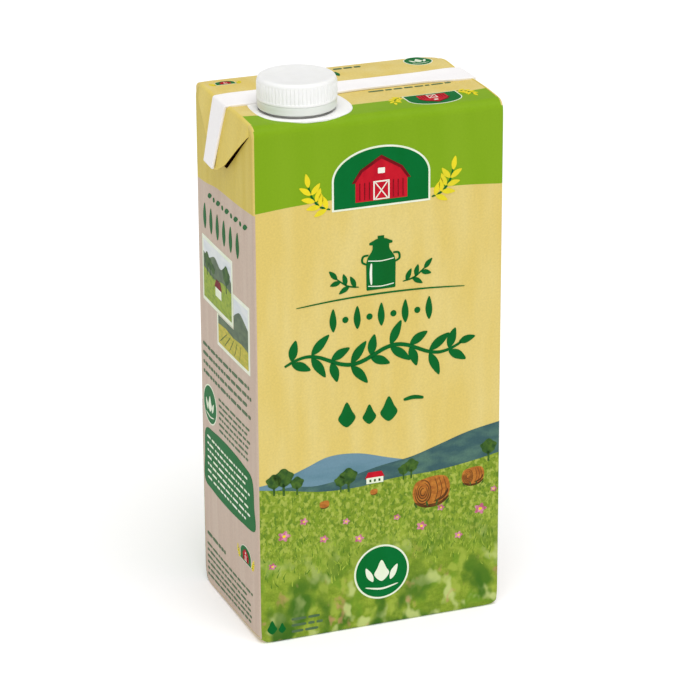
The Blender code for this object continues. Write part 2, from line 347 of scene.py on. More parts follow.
def carton_board(mat):
    """The board box as one closed skin: the wrapped sheet and the two side panels."""
    verts, faces = [], []
    for t in GRID_T:
        verts += [wrap_point(x, t, 0.0) for x in GRID_X]
    wide, tall = len(GRID_X), len(GRID_T)
    for j in range(tall):
        for i in range(wide - 1):
            a, b = j * wide + i, ((j + 1) % tall) * wide + i
            faces.append((a, a + 1, b + 1, b))
    rim, pocket = [profile(t, SIDE_EDGE)[0] for t in GRID_T], pocket_outline()
    for side in (-1, 1):
        for loops, depth in (([rim, pocket], lambda y, z: 0.0), ([pocket], pocket_depth)):
            flat, tris = triangles(loops, SIDE_GRID)
            start = len(verts)
            verts += [side_point(side, y, z, -depth(y, z)) for y, z in flat]
            for tri in tris:
                tri = tuple(start + i for i in tri)
                faces.append(tri if side > 0 else tuple(reversed(tri)))
    obj = new_piece("carton_board", verts, faces, mat)
    face_outwards(obj, weld=0.004)
    smooth(obj)
    return obj


# ---------------------------------------------------------------- materials
def noise(tree, coords, scale, detail, **more):
    """Soft noise at a scale of so many spots to a metre."""
    return add(tree, "ShaderNodeTexNoise", {"Vector": coords, "Scale": scale, "Detail": detail,
                                            **more}).outputs["Fac"]


def span(tree, value, low, high, start=0.0, end=1.0, **settings):
    """A value that runs from start to end, carried over to the range from low to high."""
    return add(tree, "ShaderNodeMapRange", {"Value": value, "From Min": start, "From Max": end,
                                            "To Min": low, "To Max": high}, **settings).outputs[0]


def new_material(name, values):
    """A new material with some of its shader's inputs set, its node tree and its shader."""
    mat = bpy.data.materials.new(name)
    mat.use_nodes = True
    shader = mat.node_tree.nodes["Principled BSDF"]
    for label, value in values.items():
        shader.inputs[label].default_value = value
    return mat, mat.node_tree, shader


def board_surface(tree, shader, coords, roughness):
    """Faint unevenness of board under its polyethylene film. Real fibres are under 0.1 mm;
    they are drawn at 0.7 mm, as fine as the render shows."""
    fibres = noise(tree, coords, 1 / (0.7 * MM), 3.0)
    waves = noise(tree, coords, 1 / (14 * MM), 1.0)
    wavy = add(tree, "ShaderNodeBump", {"Height": waves, "Strength": 0.5,
                                        "Distance": 0.10 * MM})
    fine = add(tree, "ShaderNodeBump", {"Height": fibres, "Normal": wavy.outputs[0],
                                        "Strength": 0.35, "Distance": 0.02 * MM})
    tree.links.new(fine.outputs[0], shader.inputs["Normal"])
    gloss = span(tree, fibres, roughness - 0.05, roughness + 0.07)
    tree.links.new(gloss, shader.inputs["Roughness"])
    return fibres


def board_print(name, colour, other, streak=(8.0, 45.0), amount=1.0, roughness=0.42,
                grain=0.05):
    """Offset ink on white liquid packaging board, sealed under extruded polyethylene: a satin,
    slightly uneven sheet whose colour drifts in soft upright streaks."""
    mat, tree, shader = new_material(name, {"IOR": 1.5, "Specular IOR Level": 0.05})
    coords = add(tree, "ShaderNodeTexCoord").outputs["Object"]
    fibres = board_surface(tree, shader, coords, roughness)
    across, along = streak
    upright = add(tree, "ShaderNodeMapping",
                  {"Vector": coords,
                   "Scale": (1 / (across * MM), 1 / (across * MM), 1 / (along * MM))})
    drift = noise(tree, upright.outputs[0], 1.0, 2.0, Roughness=0.45)
    blend = span(tree, drift, 0.0, amount, 0.38, 0.68)
    mixed = add(tree, "ShaderNodeMix", {0: blend, 6: srgb(colour), 7: srgb(other)},
                data_type="RGBA").outputs[2]
    speck = span(tree, fibres, 1 - grain, 1 + grain, 0.3, 0.7)
    tone = add(tree, "ShaderNodeHueSaturation", {"Value": speck, "Color": mixed})
    tree.links.new(tone.outputs[0], shader.inputs["Base Color"])
    return mat


def moulded(name, colour, roughness, haze_mm=5.0):
    """Injection moulded polyethylene: milky, satin, with faint flow clouding in the gloss and
    a little light carried under the surface."""
    mat, tree, shader = new_material(name, {
        "IOR": 1.5, "Specular IOR Level": 0.45, "Subsurface Weight": 0.15,
        "Subsurface Radius": (1.0, 1.0, 0.9), "Subsurface Scale": 0.8 * MM})
    coords = add(tree, "ShaderNodeTexCoord").outputs["Object"]
    cloud = noise(tree, coords, 1 / (haze_mm * MM), 3.0)
    gloss = span(tree, cloud, roughness - 0.06, roughness + 0.08)
    tree.links.new(gloss, shader.inputs["Roughness"])
    tint = span(tree, cloud, 0.975, 1.02, 0.3, 0.7)
    tone = add(tree, "ShaderNodeHueSaturation", {"Value": tint, "Color": srgb(colour)})
    tree.links.new(tone.outputs[0], shader.inputs["Base Color"])
    pits = noise(tree, coords, 1 / (0.4 * MM), 2.0)
    skin = add(tree, "ShaderNodeBump", {"Height": pits, "Strength": 0.25,
                                        "Distance": 0.01 * MM})
    tree.links.new(skin.outputs[0], shader.inputs["Normal"])
    return mat


board_cream = board_print("coated_board_cream_ink", "#DEC671", "#E3D088", amount=0.75)
gusset_ink = board_print("coated_board_gusset_yellow_ink", "#E0C864", "#E6D278", amount=0.7)
board_white = board_print("coated_board_unprinted_fin", "#FAF7F7", "#FDFBFA", grain=0.015,
                          roughness=0.45)
lime_ink = board_print("lime_green_ink", "#80A81C", "#84AB21", grain=0.03)
# painted shade: the dark brown sheet in the gap under each ear stands for the deep shadow there
gap_shade_ink = board_print("dark_brown_painted_gap_shade", "#4A3018", "#58391C", (5, 9), grain=0.08,
                        roughness=0.75)
cap_plastic = moulded("cap_polyethylene_white", "#F8F8F6", 0.36)
# the band is the cap's white polyethylene; its greyer colour is painted shade, the soft shade
# under the cap's lip
band_plastic = moulded("tamper_band_white_with_painted_shade", "#E6EAE3", 0.38)
flange_plastic = moulded("spout_flange_polyethylene_white", "#FFFEFC", 0.34)

# ---------------------------------------------------------------- board, ears and fin
SIDE_NAME = {-1: "left", 1: "right"}
carry(carton_board(board_cream), "coated_board", "carton")


def slab(name, outline, low, high, mat):
    """A flat piece of board with an outline (x, y), between two heights."""
    n = len(outline)
    verts = [(x, y, low) for x, y in outline] + [(x, y, high) for x, y in outline]
    faces = [tuple(range(n - 1, -1, -1)), tuple(range(n, 2 * n))]
    faces += [(i, (i + 1) % n, (i + 1) % n + n, i + n) for i in range(n)]
    obj = new_piece(name, verts, faces, mat)
    edge = obj.modifiers.new("edge", "BEVEL")
    edge.width, edge.segments = 0.12 * MM, 2
    settle_modifiers(obj)
    return carry(obj, "coated_board")


for side in (-1, 1):
    flap = [(side * 44.6, -26.5), (side * 44.6, 26.5), (side * 15.6, 0.0)]
    slab("base_flap_" + SIDE_NAME[side], flap[::side], 0.22, 0.75, board_cream)
slab("base_seam", [(-43.6, -3.0), (43.6, -3.0), (43.6, 10.5), (-43.6, 10.5)], 0.05, 0.6,
     board_cream)


def shade_sheet_in_gap(side, mat):
    """A dark brown sheet in the gap under an ear: painted shade, standing for the deep shadow
    between the ear and the side panel.
    """
    flat, tris = triangles([pocket_outline()], SIDE_GRID)
    if side < 0:
        tris = [tuple(reversed(tri)) for tri in tris]
    skins = (lambda y, z, lift=lift: side_point(side, y, z, lift - pocket_depth(y, z))
             for lift in (0.05, -0.15))
    verts, faces = film(flat, tris, *skins)
    carry(new_piece("fold_gap_" + SIDE_NAME[side], verts, faces, mat, 30), "coated_board")


for side in (-1, 1):
    shade_sheet_in_gap(side, gap_shade_ink)


def bent_sheet(name, rows, thickness, mat, soften):
    """A sheet through rows of points, given an even thickness inwards and softened edges."""
    wide = len(rows[0])
    verts = [p for row in rows for p in row]
    faces = [(j * wide + i, j * wide + i + 1, (j + 1) * wide + i + 1, (j + 1) * wide + i)
             for j in range(len(rows) - 1) for i in range(wide - 1)]
    obj = new_piece(name, verts, faces, mat)
    shell = obj.modifiers.new("thickness", "SOLIDIFY")
    shell.thickness = thickness * MM
    shell.offset = -1.0
    edge = obj.modifiers.new("edge", "BEVEL")
    edge.width = soften * MM
    edge.segments = 3
    edge.angle_limit = math.radians(50)
    settle_modifiers(obj)
    smooth(obj, 40)
    return obj


def over_edge(q, radius, start_x, top_z, lean):
    """Along a bend from the flat top over the side: distance q to (x, z)."""
    a = max(lean, math.pi / 2 - q / radius)
    past = max(0.0, q - radius * (math.pi / 2 - lean))
    return (start_x + radius * math.cos(a) + past * math.sin(lean),
            top_z - radius + radius * math.sin(a) - past * math.cos(lean))


LEAN = math.atan2(EAR_OUT - FIN_THICK, EAR_DROP)
EAR_BEND, EAR_START, EAR_SHEET = 1.25, HALF_W - 1.15, 0.38
# The flap's free edge: along the panel from the carton's middle line, and down the flap
EAR_EDGE = [(-27.4, 2.6), (-26.6, 3.2), (-17.5, 10.8), (-8.2, 18.8), (-1.9, 22.3), (1.3, 23.1),
            (3.2, 21.8), (27.4, 2.8)]


def height_on(line, u):
    """How high a broken line is at u."""
    for (u0, v0), (u1, v1) in zip(line, line[1:]):
        if u0 <= u <= u1:
            return v0 + (v1 - v0) * (u - u0) / (u1 - u0)
    return line[0][1] if u < line[0][0] else line[-1][1]


def ear(side, mat):
    """A triangular flap: the gusset of the folded top, bent over the side and standing off it."""
    rows = []
    arc_length = EAR_BEND * (math.pi / 2 - LEAN)
    for y in steps(-EAR_HALF, EAR_HALF, 0.8):
        length = arc_length + max(0.1, height_on(EAR_EDGE, y) - 0.5)
        # over the front and back folds the hinge follows the fold down and sinks into it
        past = max(0.0, abs(y) - (HALF_D - TOP_FOLD))
        fall = TOP_FOLD - math.sqrt(TOP_FOLD ** 2 - past ** 2)
        sink = soft(EAR_HALF - 2.4, EAR_HALF, abs(y))
        rx, ry, rz = relax(side * HALF_W, y, HEIGHT - 0.5)
        row = []
        for q in ([arc_length * i / 6 for i in range(6)]
                  + [arc_length + (length - arc_length) * i / 14 for i in range(15)]):
            x, z = over_edge(q, EAR_BEND, EAR_START, HEIGHT + 0.14, LEAN)
            full = 0.25 * math.sin(math.pi * min(1, q / length)) * soft(0, 10, q) * soft(
                EAR_HALF, 4, abs(y))
            sunk = sink * (0.5 + 0.16 * max(0.0, q - arc_length))
            row.append((side * (x + full - sunk) + (rx - side * HALF_W), ry,
                        z - fall - 0.3 * sink + (rz - HEIGHT + 0.5) * soft(24, 0, q)))
        rows.append(row)
    rows = rows[::side]
    return bent_sheet("ear_flap_" + SIDE_NAME[side], rows, EAR_SHEET, mat, 0.12)


for side in (-1, 1):
    carry(ear(side, gusset_ink), "coated_board")


FIN_BEND, FIN_START, FIN_DOWN, FIN_TOP = 1.0, HALF_W - 0.2, 22.8, HEIGHT + FIN_THICK + 0.08
FIN_LEAN = math.atan2(EAR_OUT - 0.4, EAR_DROP)


def fin(mat):
    """The sealed edge of the top: two layers crimped flat, laid back and bent over both ears."""
    arc_length = FIN_BEND * (math.pi / 2 - FIN_LEAN)
    end = arc_length + FIN_DOWN
    half_path = ([FIN_START * i / 24 - FIN_START for i in range(24)]
                 + [arc_length * i / 6 for i in range(6)]
                 + [arc_length + (end - arc_length) * i / 14 for i in range(15)])
    rows = []
    for across in (0.0, 0.06, 0.22, 0.41, 0.60, 0.78, 0.94, 1.0):
        row = []
        for side, q in [(-1, q) for q in reversed(half_path[1:])] + [(1, q) for q in half_path]:
            if q < 0:
                x, z = FIN_START + q, FIN_TOP
            else:
                x, z = over_edge(q, FIN_BEND, FIN_START, FIN_TOP, FIN_LEAN)
            down = max(0.0, (q - arc_length) / (end - arc_length))
            # right of the spout the crimp is a little narrower
            slim = soft(-20.0, 5.0, side * x) * soft(44.0, 26.0, side * x)
            front = FIN_FRONT + 1.0 * soft(-2.0, 3.0, q) + 3.5 * down + 2.4 * slim
            back = FIN_FRONT + FIN_WIDTH + 0.6 * down - 1.2 * slim
            x -= 0.25 * soft(0.2, 1.0, down) * across ** 2
            z -= 0.3 * down * (1 - across)
            rise = 0.35 * soft(0.44, 1.0, across) * (1 - soft(-6, 2, q))
            row.append((side * x, front + (back - front) * across, z + rise))
        rows.append(row)
    return bent_sheet("seal_fin", rows, FIN_THICK, mat, 0.22)


carry(fin(board_white), "coated_board")


# ---------------------------------------------------------------- spout, band and cap
def turned(name, outline, mat, sides=128, closed=True):
    """A profile of (radius, height) turned about the spout's axis; a radius of 0 is a pole."""
    verts, faces, rings = [], [], []
    for r, z in outline:
        if r < 1e-6:
            rings.append([len(verts)] * sides)
            verts.append((AXIS_X, AXIS_Y, z))
        else:
            rings.append(list(range(len(verts), len(verts) + sides)))
            verts += [(AXIS_X + r * math.cos(2 * math.pi * i / sides),
                       AXIS_Y + r * math.sin(2 * math.pi * i / sides), z) for i in range(sides)]
    pairs = list(zip(rings, rings[1:])) + ([(rings[-1], rings[0])] if closed else [])
    for low, high in pairs:
        for i in range(sides):
            k = (i + 1) % sides
            # beside a pole two of the four corners are one
            faces.append(tuple(dict.fromkeys((low[i], low[k], high[k], high[i]))))
    obj = new_piece(name, verts, faces, mat)
    face_outwards(obj)
    smooth(obj, 50)
    return obj


def corner(cr, cz, radius, start, end, count):
    """A rounded corner of a turned outline, between two directions in degrees."""
    return [(cr + radius * math.cos(math.radians(start + (end - start) * i / count)),
             cz + radius * math.sin(math.radians(start + (end - start) * i / count)))
            for i in range(count + 1)]


RIB_FOOT = CAP_R - 0.30
SHOULDER = 1.35
cap_outline = ([(0.0, CAP_TOP - 0.30), (6.0, CAP_TOP - 0.29), (9.6, CAP_TOP - 0.22),
                (11.0, CAP_TOP - 0.10)]
               + corner(RIB_FOOT - SHOULDER, CAP_TOP - SHOULDER, SHOULDER, 90, 0, 9)
               + [(RIB_FOOT, LIP_TOP + 0.45)]
               + corner(CAP_R - 0.30, LIP_TOP - 0.05, 0.30, 70, 0, 4)
               + corner(CAP_R - 0.22, CAP_BOTTOM + 0.14, 0.22, 0, -90, 4)
               + [(12.2, CAP_BOTTOM - 0.08), (0.0, CAP_BOTTOM - 0.08)])
cap = turned("screw_cap", cap_outline, cap_plastic, closed=False)

# the band hangs on the cap by thin bridges, so almost no gap shows between them
BAND_LOW, BAND_HIGH = BAND_BOTTOM + 0.45, BAND_TOP + 0.20
band_outline = (corner(BAND_R - 0.30, BAND_HIGH - 0.30, 0.30, 90, 0, 4)
                + [(BAND_R - 0.02, BAND_HIGH - 1.2)]
                + corner(BAND_R - 0.55, BAND_LOW + 0.35, 0.35, 0, -90, 4)
                + [(BAND_BORE, BAND_LOW), (BAND_BORE, BAND_HIGH)])
carry(turned("tamper_ring", band_outline, band_plastic), "band_plastic", "tamper_band")


def rib_ring(count, mat):
    """Grip ribs round the cap, as one Geometry Nodes ring of upright rounded bars."""
    tree, ids, given = geometry_tree("cap_ribs", (
        ("Geometry", "Geometry"), ("Count", "Int"), ("Ring radius", "Float"),
        ("Rib radius", "Float"), ("Rib height", "Float"), ("Base height", "Float"),
        ("Material", "Material")))
    ring = add(tree, "GeometryNodeMeshCircle", {"Vertices": given["Count"],
                                                "Radius": given["Ring radius"]})
    bar = add(tree, "GeometryNodeMeshCylinder",
              {"Vertices": 10, "Side Segments": 5, "Radius": given["Rib radius"],
               "Depth": given["Rib height"]}, fill_type="NGON")
    place = add(tree, "GeometryNodeInstanceOnPoints", {"Points": ring.outputs[0],
                                                       "Instance": bar.outputs["Mesh"]})
    stand = add(tree, "ShaderNodeCombineXYZ", {"X": AXIS_X * MM, "Y": AXIS_Y * MM,
                                               "Z": given["Base height"]})
    lifted = add(tree, "GeometryNodeTransform", {"Geometry": place.outputs[0],
                                                 "Translation": stand.outputs[0]})
    real = add(tree, "GeometryNodeRealizeInstances", {"Geometry": lifted.outputs[0]})
    painted = add(tree, "GeometryNodeSetMaterial", {"Geometry": real.outputs[0],
                                                    "Material": given["Material"]})
    add(tree, "NodeGroupOutput", {"Geometry": painted.outputs[0]})
    obj = new_piece("cap_ribs", [(0, 0, 0)], [], mat)
    mod = obj.modifiers.new("ribs", "NODES")
    mod.node_group = tree
    low, high = LIP_TOP + 0.10, CAP_TOP - 0.70
    for label, value in (("Count", count), ("Ring radius", (RIB_FOOT - 0.02) * MM),
                         ("Rib radius", 0.30 * MM), ("Rib height", (high - low) * MM),
                         ("Base height", (low + high) / 2 * MM), ("Material", mat)):
        mod[ids[label]] = value
    settle_modifiers(obj)
    # the ribs run out into the shoulder at their top and into the lip at their foot
    for vert in obj.data.vertices:
        x, y, z = vert.co / MM
        if z > high - 0.01:
            dx, dy = x - AXIS_X, y - AXIS_Y
            r = math.hypot(dx, dy)
            pull = (r - 0.42) / r
            vert.co = Vector((AXIS_X + dx * pull, AXIS_Y + dy * pull, z)) * MM
    smooth(obj, 50)
    return obj


carry(rib_ring(RIBS, cap_plastic), "cap_plastic")
carry(cap, "cap_plastic", "cap")


def spout_flange(mat):
    """The welded spout's flange, a thin rounded square, with the short neck on it."""
    count = 144
    rings = [(-0.25, FLANGE_TOP - FLANGE_THICK - 0.4), (-0.02, FLANGE_TOP - 0.32),
             (0.0, FLANGE_TOP - 0.22), (-0.06, FLANGE_TOP - 0.07), (-0.22, FLANGE_TOP),
             (-1.2, FLANGE_TOP + 0.02)]
    verts, faces = [], []
    for grow, z in rings:
        for i in range(count):
            turn = 2 * math.pi * i / count
            c, s = math.cos(turn), math.sin(turn)
            reach = FLANGE_HALF * (abs(c) ** FLANGE_POWER + abs(s) ** FLANGE_POWER) ** (
                -1 / FLANGE_POWER) + grow
            verts.append((FLANGE_X + reach * c, FLANGE_Y + reach * s, z))
    # a shallow step under the band, then the neck
    neck = [(13.6, FLANGE_TOP + 0.02), (13.3, FLANGE_TOP - 0.08), (13.2, FLANGE_TOP - 0.80),
            (NECK_R - 0.9, FLANGE_TOP - 0.82), (NECK_R - 1.1, FLANGE_TOP - 0.6),
            (NECK_R - 1.1, NECK_TOP - 0.2), (NECK_R - 1.3, NECK_TOP)]
    for r, z in neck:
        for i in range(count):
            turn = 2 * math.pi * i / count
            verts.append((AXIS_X + r * math.cos(turn), AXIS_Y + r * math.sin(turn), z))
    total = len(rings) + len(neck)
    for j in range(total - 1):
        for i in range(count):
            k = (i + 1) % count
            faces.append((j * count + i, j * count + k, (j + 1) * count + k, (j + 1) * count + i))
    faces.append(tuple(reversed(range(count))))
    faces.append(tuple(range((total - 1) * count, total * count)))
    obj = new_piece("spout_flange_plate", verts, faces, mat)
    smooth(obj, 50)
    return obj


carry(spout_flange(flange_plastic), "flange_plastic", "spout_flange")

# ---------------------------------------------------------------- printing
# Every ink is a closed film a few hundredths of a millimetre proud of the board. Flat places
# are given as (u, v): on the front u runs from the left edge and v up from the floor, on the
# back and the sides the same as seen from outside, and on the top v runs back from the front.
INK_STEP, MARK_DEPTH = 0.025, 0.15
GRIDS = {"front": ([x + HALF_W for x in GRID_X], GRID_T),
         "back": ([HALF_W - x for x in GRID_X], [BACK_HIGH + FRONT_HIGH - t for t in GRID_T]),
         "top": ([x + HALF_W for x in GRID_X], [t - TOP_START + TOP_FOLD for t in GRID_T]),
         "base": ([x + HALF_W for x in GRID_X], [t - BASE_START for t in GRID_T]),
         "left": ([HALF_D - y for y in SIDE_Y], SIDE_Z),
         "right": ([HALF_D + y for y in SIDE_Y], SIDE_Z)}


def place_on(face, u, v, lift):
    """The point that a flat place (u, v) of a face comes to, lifted off the board."""
    if face == "front":
        return wrap_point(u - HALF_W, v, lift)
    if face == "back":
        return wrap_point(HALF_W - u, BACK_HIGH + FRONT_HIGH - v, lift)
    if face == "top":
        return wrap_point(u - HALF_W, TOP_START + v - TOP_FOLD, lift)
    if face == "base":
        return wrap_point(u - HALF_W, BASE_START + v, lift)
    return side_point(-1, HALF_D - u, v, lift) if face == "left" else side_point(
        1, u - HALF_D, v, lift)


def near_fold(v):
    return v < FRONT_LOW + 0.5 or FRONT_HIGH - 0.5 < v < TOP_START + 0.5


def densify(face, loop):
    """An outline with points close enough to follow the board, closer still over a fold."""
    out = []
    for (u0, v0), (u1, v1) in zip(loop, loop[1:] + loop[:1]):
        folded = face in ("front", "back") and (
            near_fold(v0) or near_fold(v1) or min(v0, v1) < FRONT_HIGH < max(v0, v1))
        count = max(1, math.ceil(math.hypot(u1 - u0, v1 - v0) / (0.4 if folded else 1.5)))
        out += [(u0 + (u1 - u0) * i / count, v0 + (v1 - v0) * i / count) for i in range(count)]
    return out


INKS = []


class Ink:
    """All the printed shapes of one ink, gathered into one piece."""

    def __init__(self, name, mat, level):
        self.name, self.mat, self.level = name, mat, level
        self.verts, self.faces = [], []
        INKS.append(self)

    def print_on(self, face, *loops):
        dense = [densify(face, list(loop)) for loop in loops]
        low_u, high_u = min(p[0] for p in dense[0]), max(p[0] for p in dense[0])
        low_v, high_v = min(p[1] for p in dense[0]), max(p[1] for p in dense[0])
        us, vs = GRIDS[face]
        inner = [(u, v) for u in us if low_u + 0.05 < u < high_u - 0.05
                 for v in vs if low_v + 0.05 < v < high_v - 0.05]
        self.lay(face, *triangles(dense, inner))

    def roll_round(self, face, lows, highs, ends=(0, 1), part=(-1.0, SIDE_EDGE)):
        """Carries the ink round the left and the right upright edge of a panel, between two
        heights at each; part is how much of the left edge, measured into the panel."""
        for end in ends:
            low_u, high_u = part if end == 0 else (RIGHT_U, 2 * HALF_W + 1)
            self.strip(face, low_u, high_u, lows[end], highs[end])

    def strip(self, face, low_u, high_u, low, high):
        """Ink on the board's own rows and columns, for a place where the board turns sharply."""
        us, vs = sorted(GRIDS[face][0]), sorted(GRIDS[face][1])
        across = [u for u in us if low_u - 0.01 < u < high_u + 0.01]
        rise = [low] + [v for v in vs if low + 0.1 < v < high - 0.1] + [high]
        flat = [(u, v) for v in rise for u in across]
        n, tris = len(across), []
        for j in range(len(rise) - 1):
            for i in range(n - 1):
                k = j * n + i
                tris += [(k, k + 1, k + n + 1), (k, k + n + 1, k + n)]
        self.lay(face, flat, tris)

    def lay(self, face, flat, tris):
        skins = (lambda u, v, lift=lift: place_on(face, u, v, lift)
                 for lift in (self.level * INK_STEP, -0.03))
        verts, faces = film(flat, tris, *skins, start=len(self.verts))
        self.verts += verts
        self.faces += faces

    def done(self):
        carry(new_piece(self.name, self.verts, self.faces, self.mat, 35), "coated_board")


def ellipse(cx, cy, rx, ry=None, turn=0.0, count=44):
    ry = rx if ry is None else ry
    c, s = math.cos(turn), math.sin(turn)
    return [(cx + rx * math.cos(a) * c - ry * math.sin(a) * s,
             cy + rx * math.cos(a) * s + ry * math.sin(a) * c)
            for a in (2 * math.pi * i / count for i in range(count))]


def panel(u0, v0, u1, v1, r, per=4):
    """A rectangle with rounded corners."""
    corners = ((u1 - r, v0 + r, -90), (u1 - r, v1 - r, 0), (u0 + r, v1 - r, 90),
               (u0 + r, v0 + r, 180))
    return [(cx + r * math.cos(math.radians(start + 90 * i / per)),
             cy + r * math.sin(math.radians(start + 90 * i / per)))
            for cx, cy, start in corners for i in range(per + 1)]


def through(points, closed=True, per=6):
    """A smooth line through given points."""
    n, out = len(points), []
    for i in range(n if closed else n - 1):
        p = [points[(i + k) % n] if closed else points[min(max(i + k, 0), n - 1)]
             for k in (-1, 0, 1, 2)]
        for j in range(per):
            t = j / per
            out.append(tuple(0.5 * (2 * p[1][a] + (p[2][a] - p[0][a]) * t
                                    + (2 * p[0][a] - 5 * p[1][a] + 4 * p[2][a] - p[3][a]) * t * t
                                    + (3 * p[1][a] - p[0][a] - 3 * p[2][a] + p[3][a]) * t ** 3)
                             for a in (0, 1)))
    return out if closed else out + [tuple(points[-1])]


def stroke(points, width, ends=0.25, per=8):
    """A brush stroke: full in its middle and thinner at both ends."""
    line = through(points, False, per)
    left, right = [], []
    for i, (u, v) in enumerate(line):
        a, b = line[max(i - 1, 0)], line[min(i + 1, len(line) - 1)]
        du, dv = b[0] - a[0], b[1] - a[1]
        size = math.hypot(du, dv) or 1
        t = i / (len(line) - 1)
        half = width / 2 * (ends + (1 - ends) * math.sin(math.pi * t) ** 0.6)
        left.append((u - dv / size * half, v + du / size * half))
        right.append((u + dv / size * half, v - du / size * half))
    return right + left[::-1]


def moved(loop, du=0.0, dv=0.0, size=1.0, turn=0.0):
    """An outline scaled, turned and carried to its place."""
    c, s = math.cos(turn) * size, math.sin(turn) * size
    return [(du + u * c - v * s, dv + u * s + v * c) for u, v in loop]


def leaf(u, v, length, width, turn):
    """A leaf that grows from u, v in the direction of a turn."""
    shape = through([(0, 0), (0.28, 0.40), (0.62, 0.42), (1, 0), (0.62, -0.34), (0.28, -0.36)])
    return moved([(a * length, b * width) for a, b in shape], u, v, 1.0, turn)[::-1]


def drop(u, v, tall):
    """A standing drop; u, v at its foot."""
    half = tall * 0.34
    shape = through([(0, 0), (half, half * 0.95), (half * 0.62, tall * 0.62), (0, tall),
                     (-half * 0.62, tall * 0.62), (-half, half * 0.95)])
    return moved(shape, u, v)


def mirrored(loop, about):
    return [(2 * about - u, v) for u, v in loop][::-1]


# ---------------------------------------------------------------- printed ink materials
beige_ink = board_print("side_panel_beige_ink", "#C8B3A2", "#CFBDAC", (3.0, 60.0), 0.9)
side_yellow_ink = board_print("side_panel_yellow_ink", "#D2BC55", "#D8C466", (5, 30), 0.8)
dark_green_ink = board_print("dark_green_ink", "#0A6226", "#08682C", (6, 20), grain=0.04)
deep_green_ink = board_print("panel_green_ink", "#006A2C", "#026E32", (9, 20), grain=0.03)
pale_ink = board_print("pale_ink", "#E6EFD4", "#F1F3E6", (6, 20), grain=0.02)
yellow_ink = board_print("grain_yellow_ink", "#F0DC28", "#E2D430", (4, 9), grain=0.03)
red_ink = board_print("barn_red_ink", "#BC1428", "#CB1C2C", (3, 12), grain=0.04)
dark_red_ink = board_print("barn_shade_ink", "#6E0F18", "#8C1420", (3, 6), grain=0.04)
far_hill_ink = board_print("far_hill_blue_ink", "#6F91A2", "#5E8492", (20, 4), grain=0.04)
near_hill_ink = board_print("near_hill_green_blue_ink", "#3F5F62", "#56786C", (7, 3), grain=0.08)
bale_ink = board_print("hay_gold_brown_ink", "#BE7A34", "#A4602A", (2.2, 1.4), grain=0.12)
bale_dark_ink = board_print("hay_shade_ink", "#6A4422", "#52341C", (3, 3), grain=0.08)
tree_ink = board_print("tree_dark_green_ink", "#4A6B2C", "#2F5128", (2, 2), grain=0.10)
text_ink = board_print("fine_print_ink", "#4E6B4A", "#5A7350", (4, 4), grain=0.04)


def meadow_print():
    """Four-colour print of long grass: fine and sharp far off, soft and blotchy close by."""
    mat = board_print("meadow_four_colour_print", "#78922A", "#98AC3C", (5, 3), 0.8, grain=0.14)
    tree = mat.node_tree
    shader = tree.nodes["Principled BSDF"]
    coords = next(n for n in tree.nodes if n.type == "TEX_COORD").outputs["Object"]
    height = add(tree, "ShaderNodeSeparateXYZ", {"Vector": coords}).outputs["Z"]
    base = shader.inputs["Base Color"].links[0].from_socket

    def over(colour, size, softness, low_z, high_z, below, amount, start=0.5):
        """Lays one tone over the field in patches of a size, fading between two heights."""
        nonlocal base
        spread = add(tree, "ShaderNodeMapping",
                     {"Vector": coords, "Location": (size, amount, 0),
                      "Scale": [1 / (size * k * MM) for k in (1.0, 1.0, 1.35)]})
        patch = noise(tree, spread.outputs[0], 1.0, 2.0)
        cut = span(tree, patch, 0.0, 1.0, start, start + softness,
                   interpolation_type="SMOOTHSTEP")
        fade = span(tree, height, amount if below else 0.0, 0.0 if below else amount,
                    low_z * MM, high_z * MM, interpolation_type="SMOOTHSTEP")
        weight = add(tree, "ShaderNodeMath", {0: cut, 1: fade}, operation="MULTIPLY").outputs[0]
        base = add(tree, "ShaderNodeMix", {0: weight, 6: base, 7: srgb(colour)},
                   data_type="RGBA").outputs[2]

    over("#5E8028", 1.1, 0.14, 20, 42, False, 0.85)         # blades
    over("#B4C058", 1.7, 0.12, 20, 38, False, 0.75)         # sunlit tips
    over("#6E9428", 6.0, 0.20, 5, 62, True, 0.9)
    over("#A4B648", 4.2, 0.16, 14, 50, True, 0.8, 0.50)
    over("#4A7420", 9.5, 0.14, 8, 46, True, 0.95, 0.51)     # dark gaps close by
    over("#C2CE80", 6.5, 0.13, 10, 42, True, 0.85, 0.54)     # pale heads out of focus
    over("#3E6A1E", 12.0, 0.14, -2, 36, True, 1.0, 0.52)
    over("#C0906A", 4.8, 0.14, 4, 38, True, 0.70, 0.63)      # orange heads out of focus
    tree.links.new(base, shader.inputs["Base Color"])
    return mat


meadow_ink = meadow_print()
blossom_ink = board_print("petal_pink_ink", "#B8607A", "#DE9AB0", (1.1, 1.3), grain=0.10)
blade_ink = board_print("light_grass_ink", "#A9BC4A", "#8FAA36", (2, 3), grain=0.12)
blade_dark_ink = board_print("dark_grass_ink", "#5C8026", "#4E7620", (2, 3), grain=0.12)
grey_ink = board_print("tile_sky_ink", "#E2E6E4", "#D2DADC", (9, 3), grain=0.02)
tile_hill_ink = board_print("tile_hill_ink", "#5A6B55", "#6C7D60", (4, 2), grain=0.08)
tile_field_ink = board_print("tile_field_ink", "#9DB03E", "#7E9A34", (2, 1.2), grain=0.10)
tile_gold_ink = board_print("tile_gold_ink", "#C9BB4A", "#A9AA3E", (3, 1), grain=0.10)

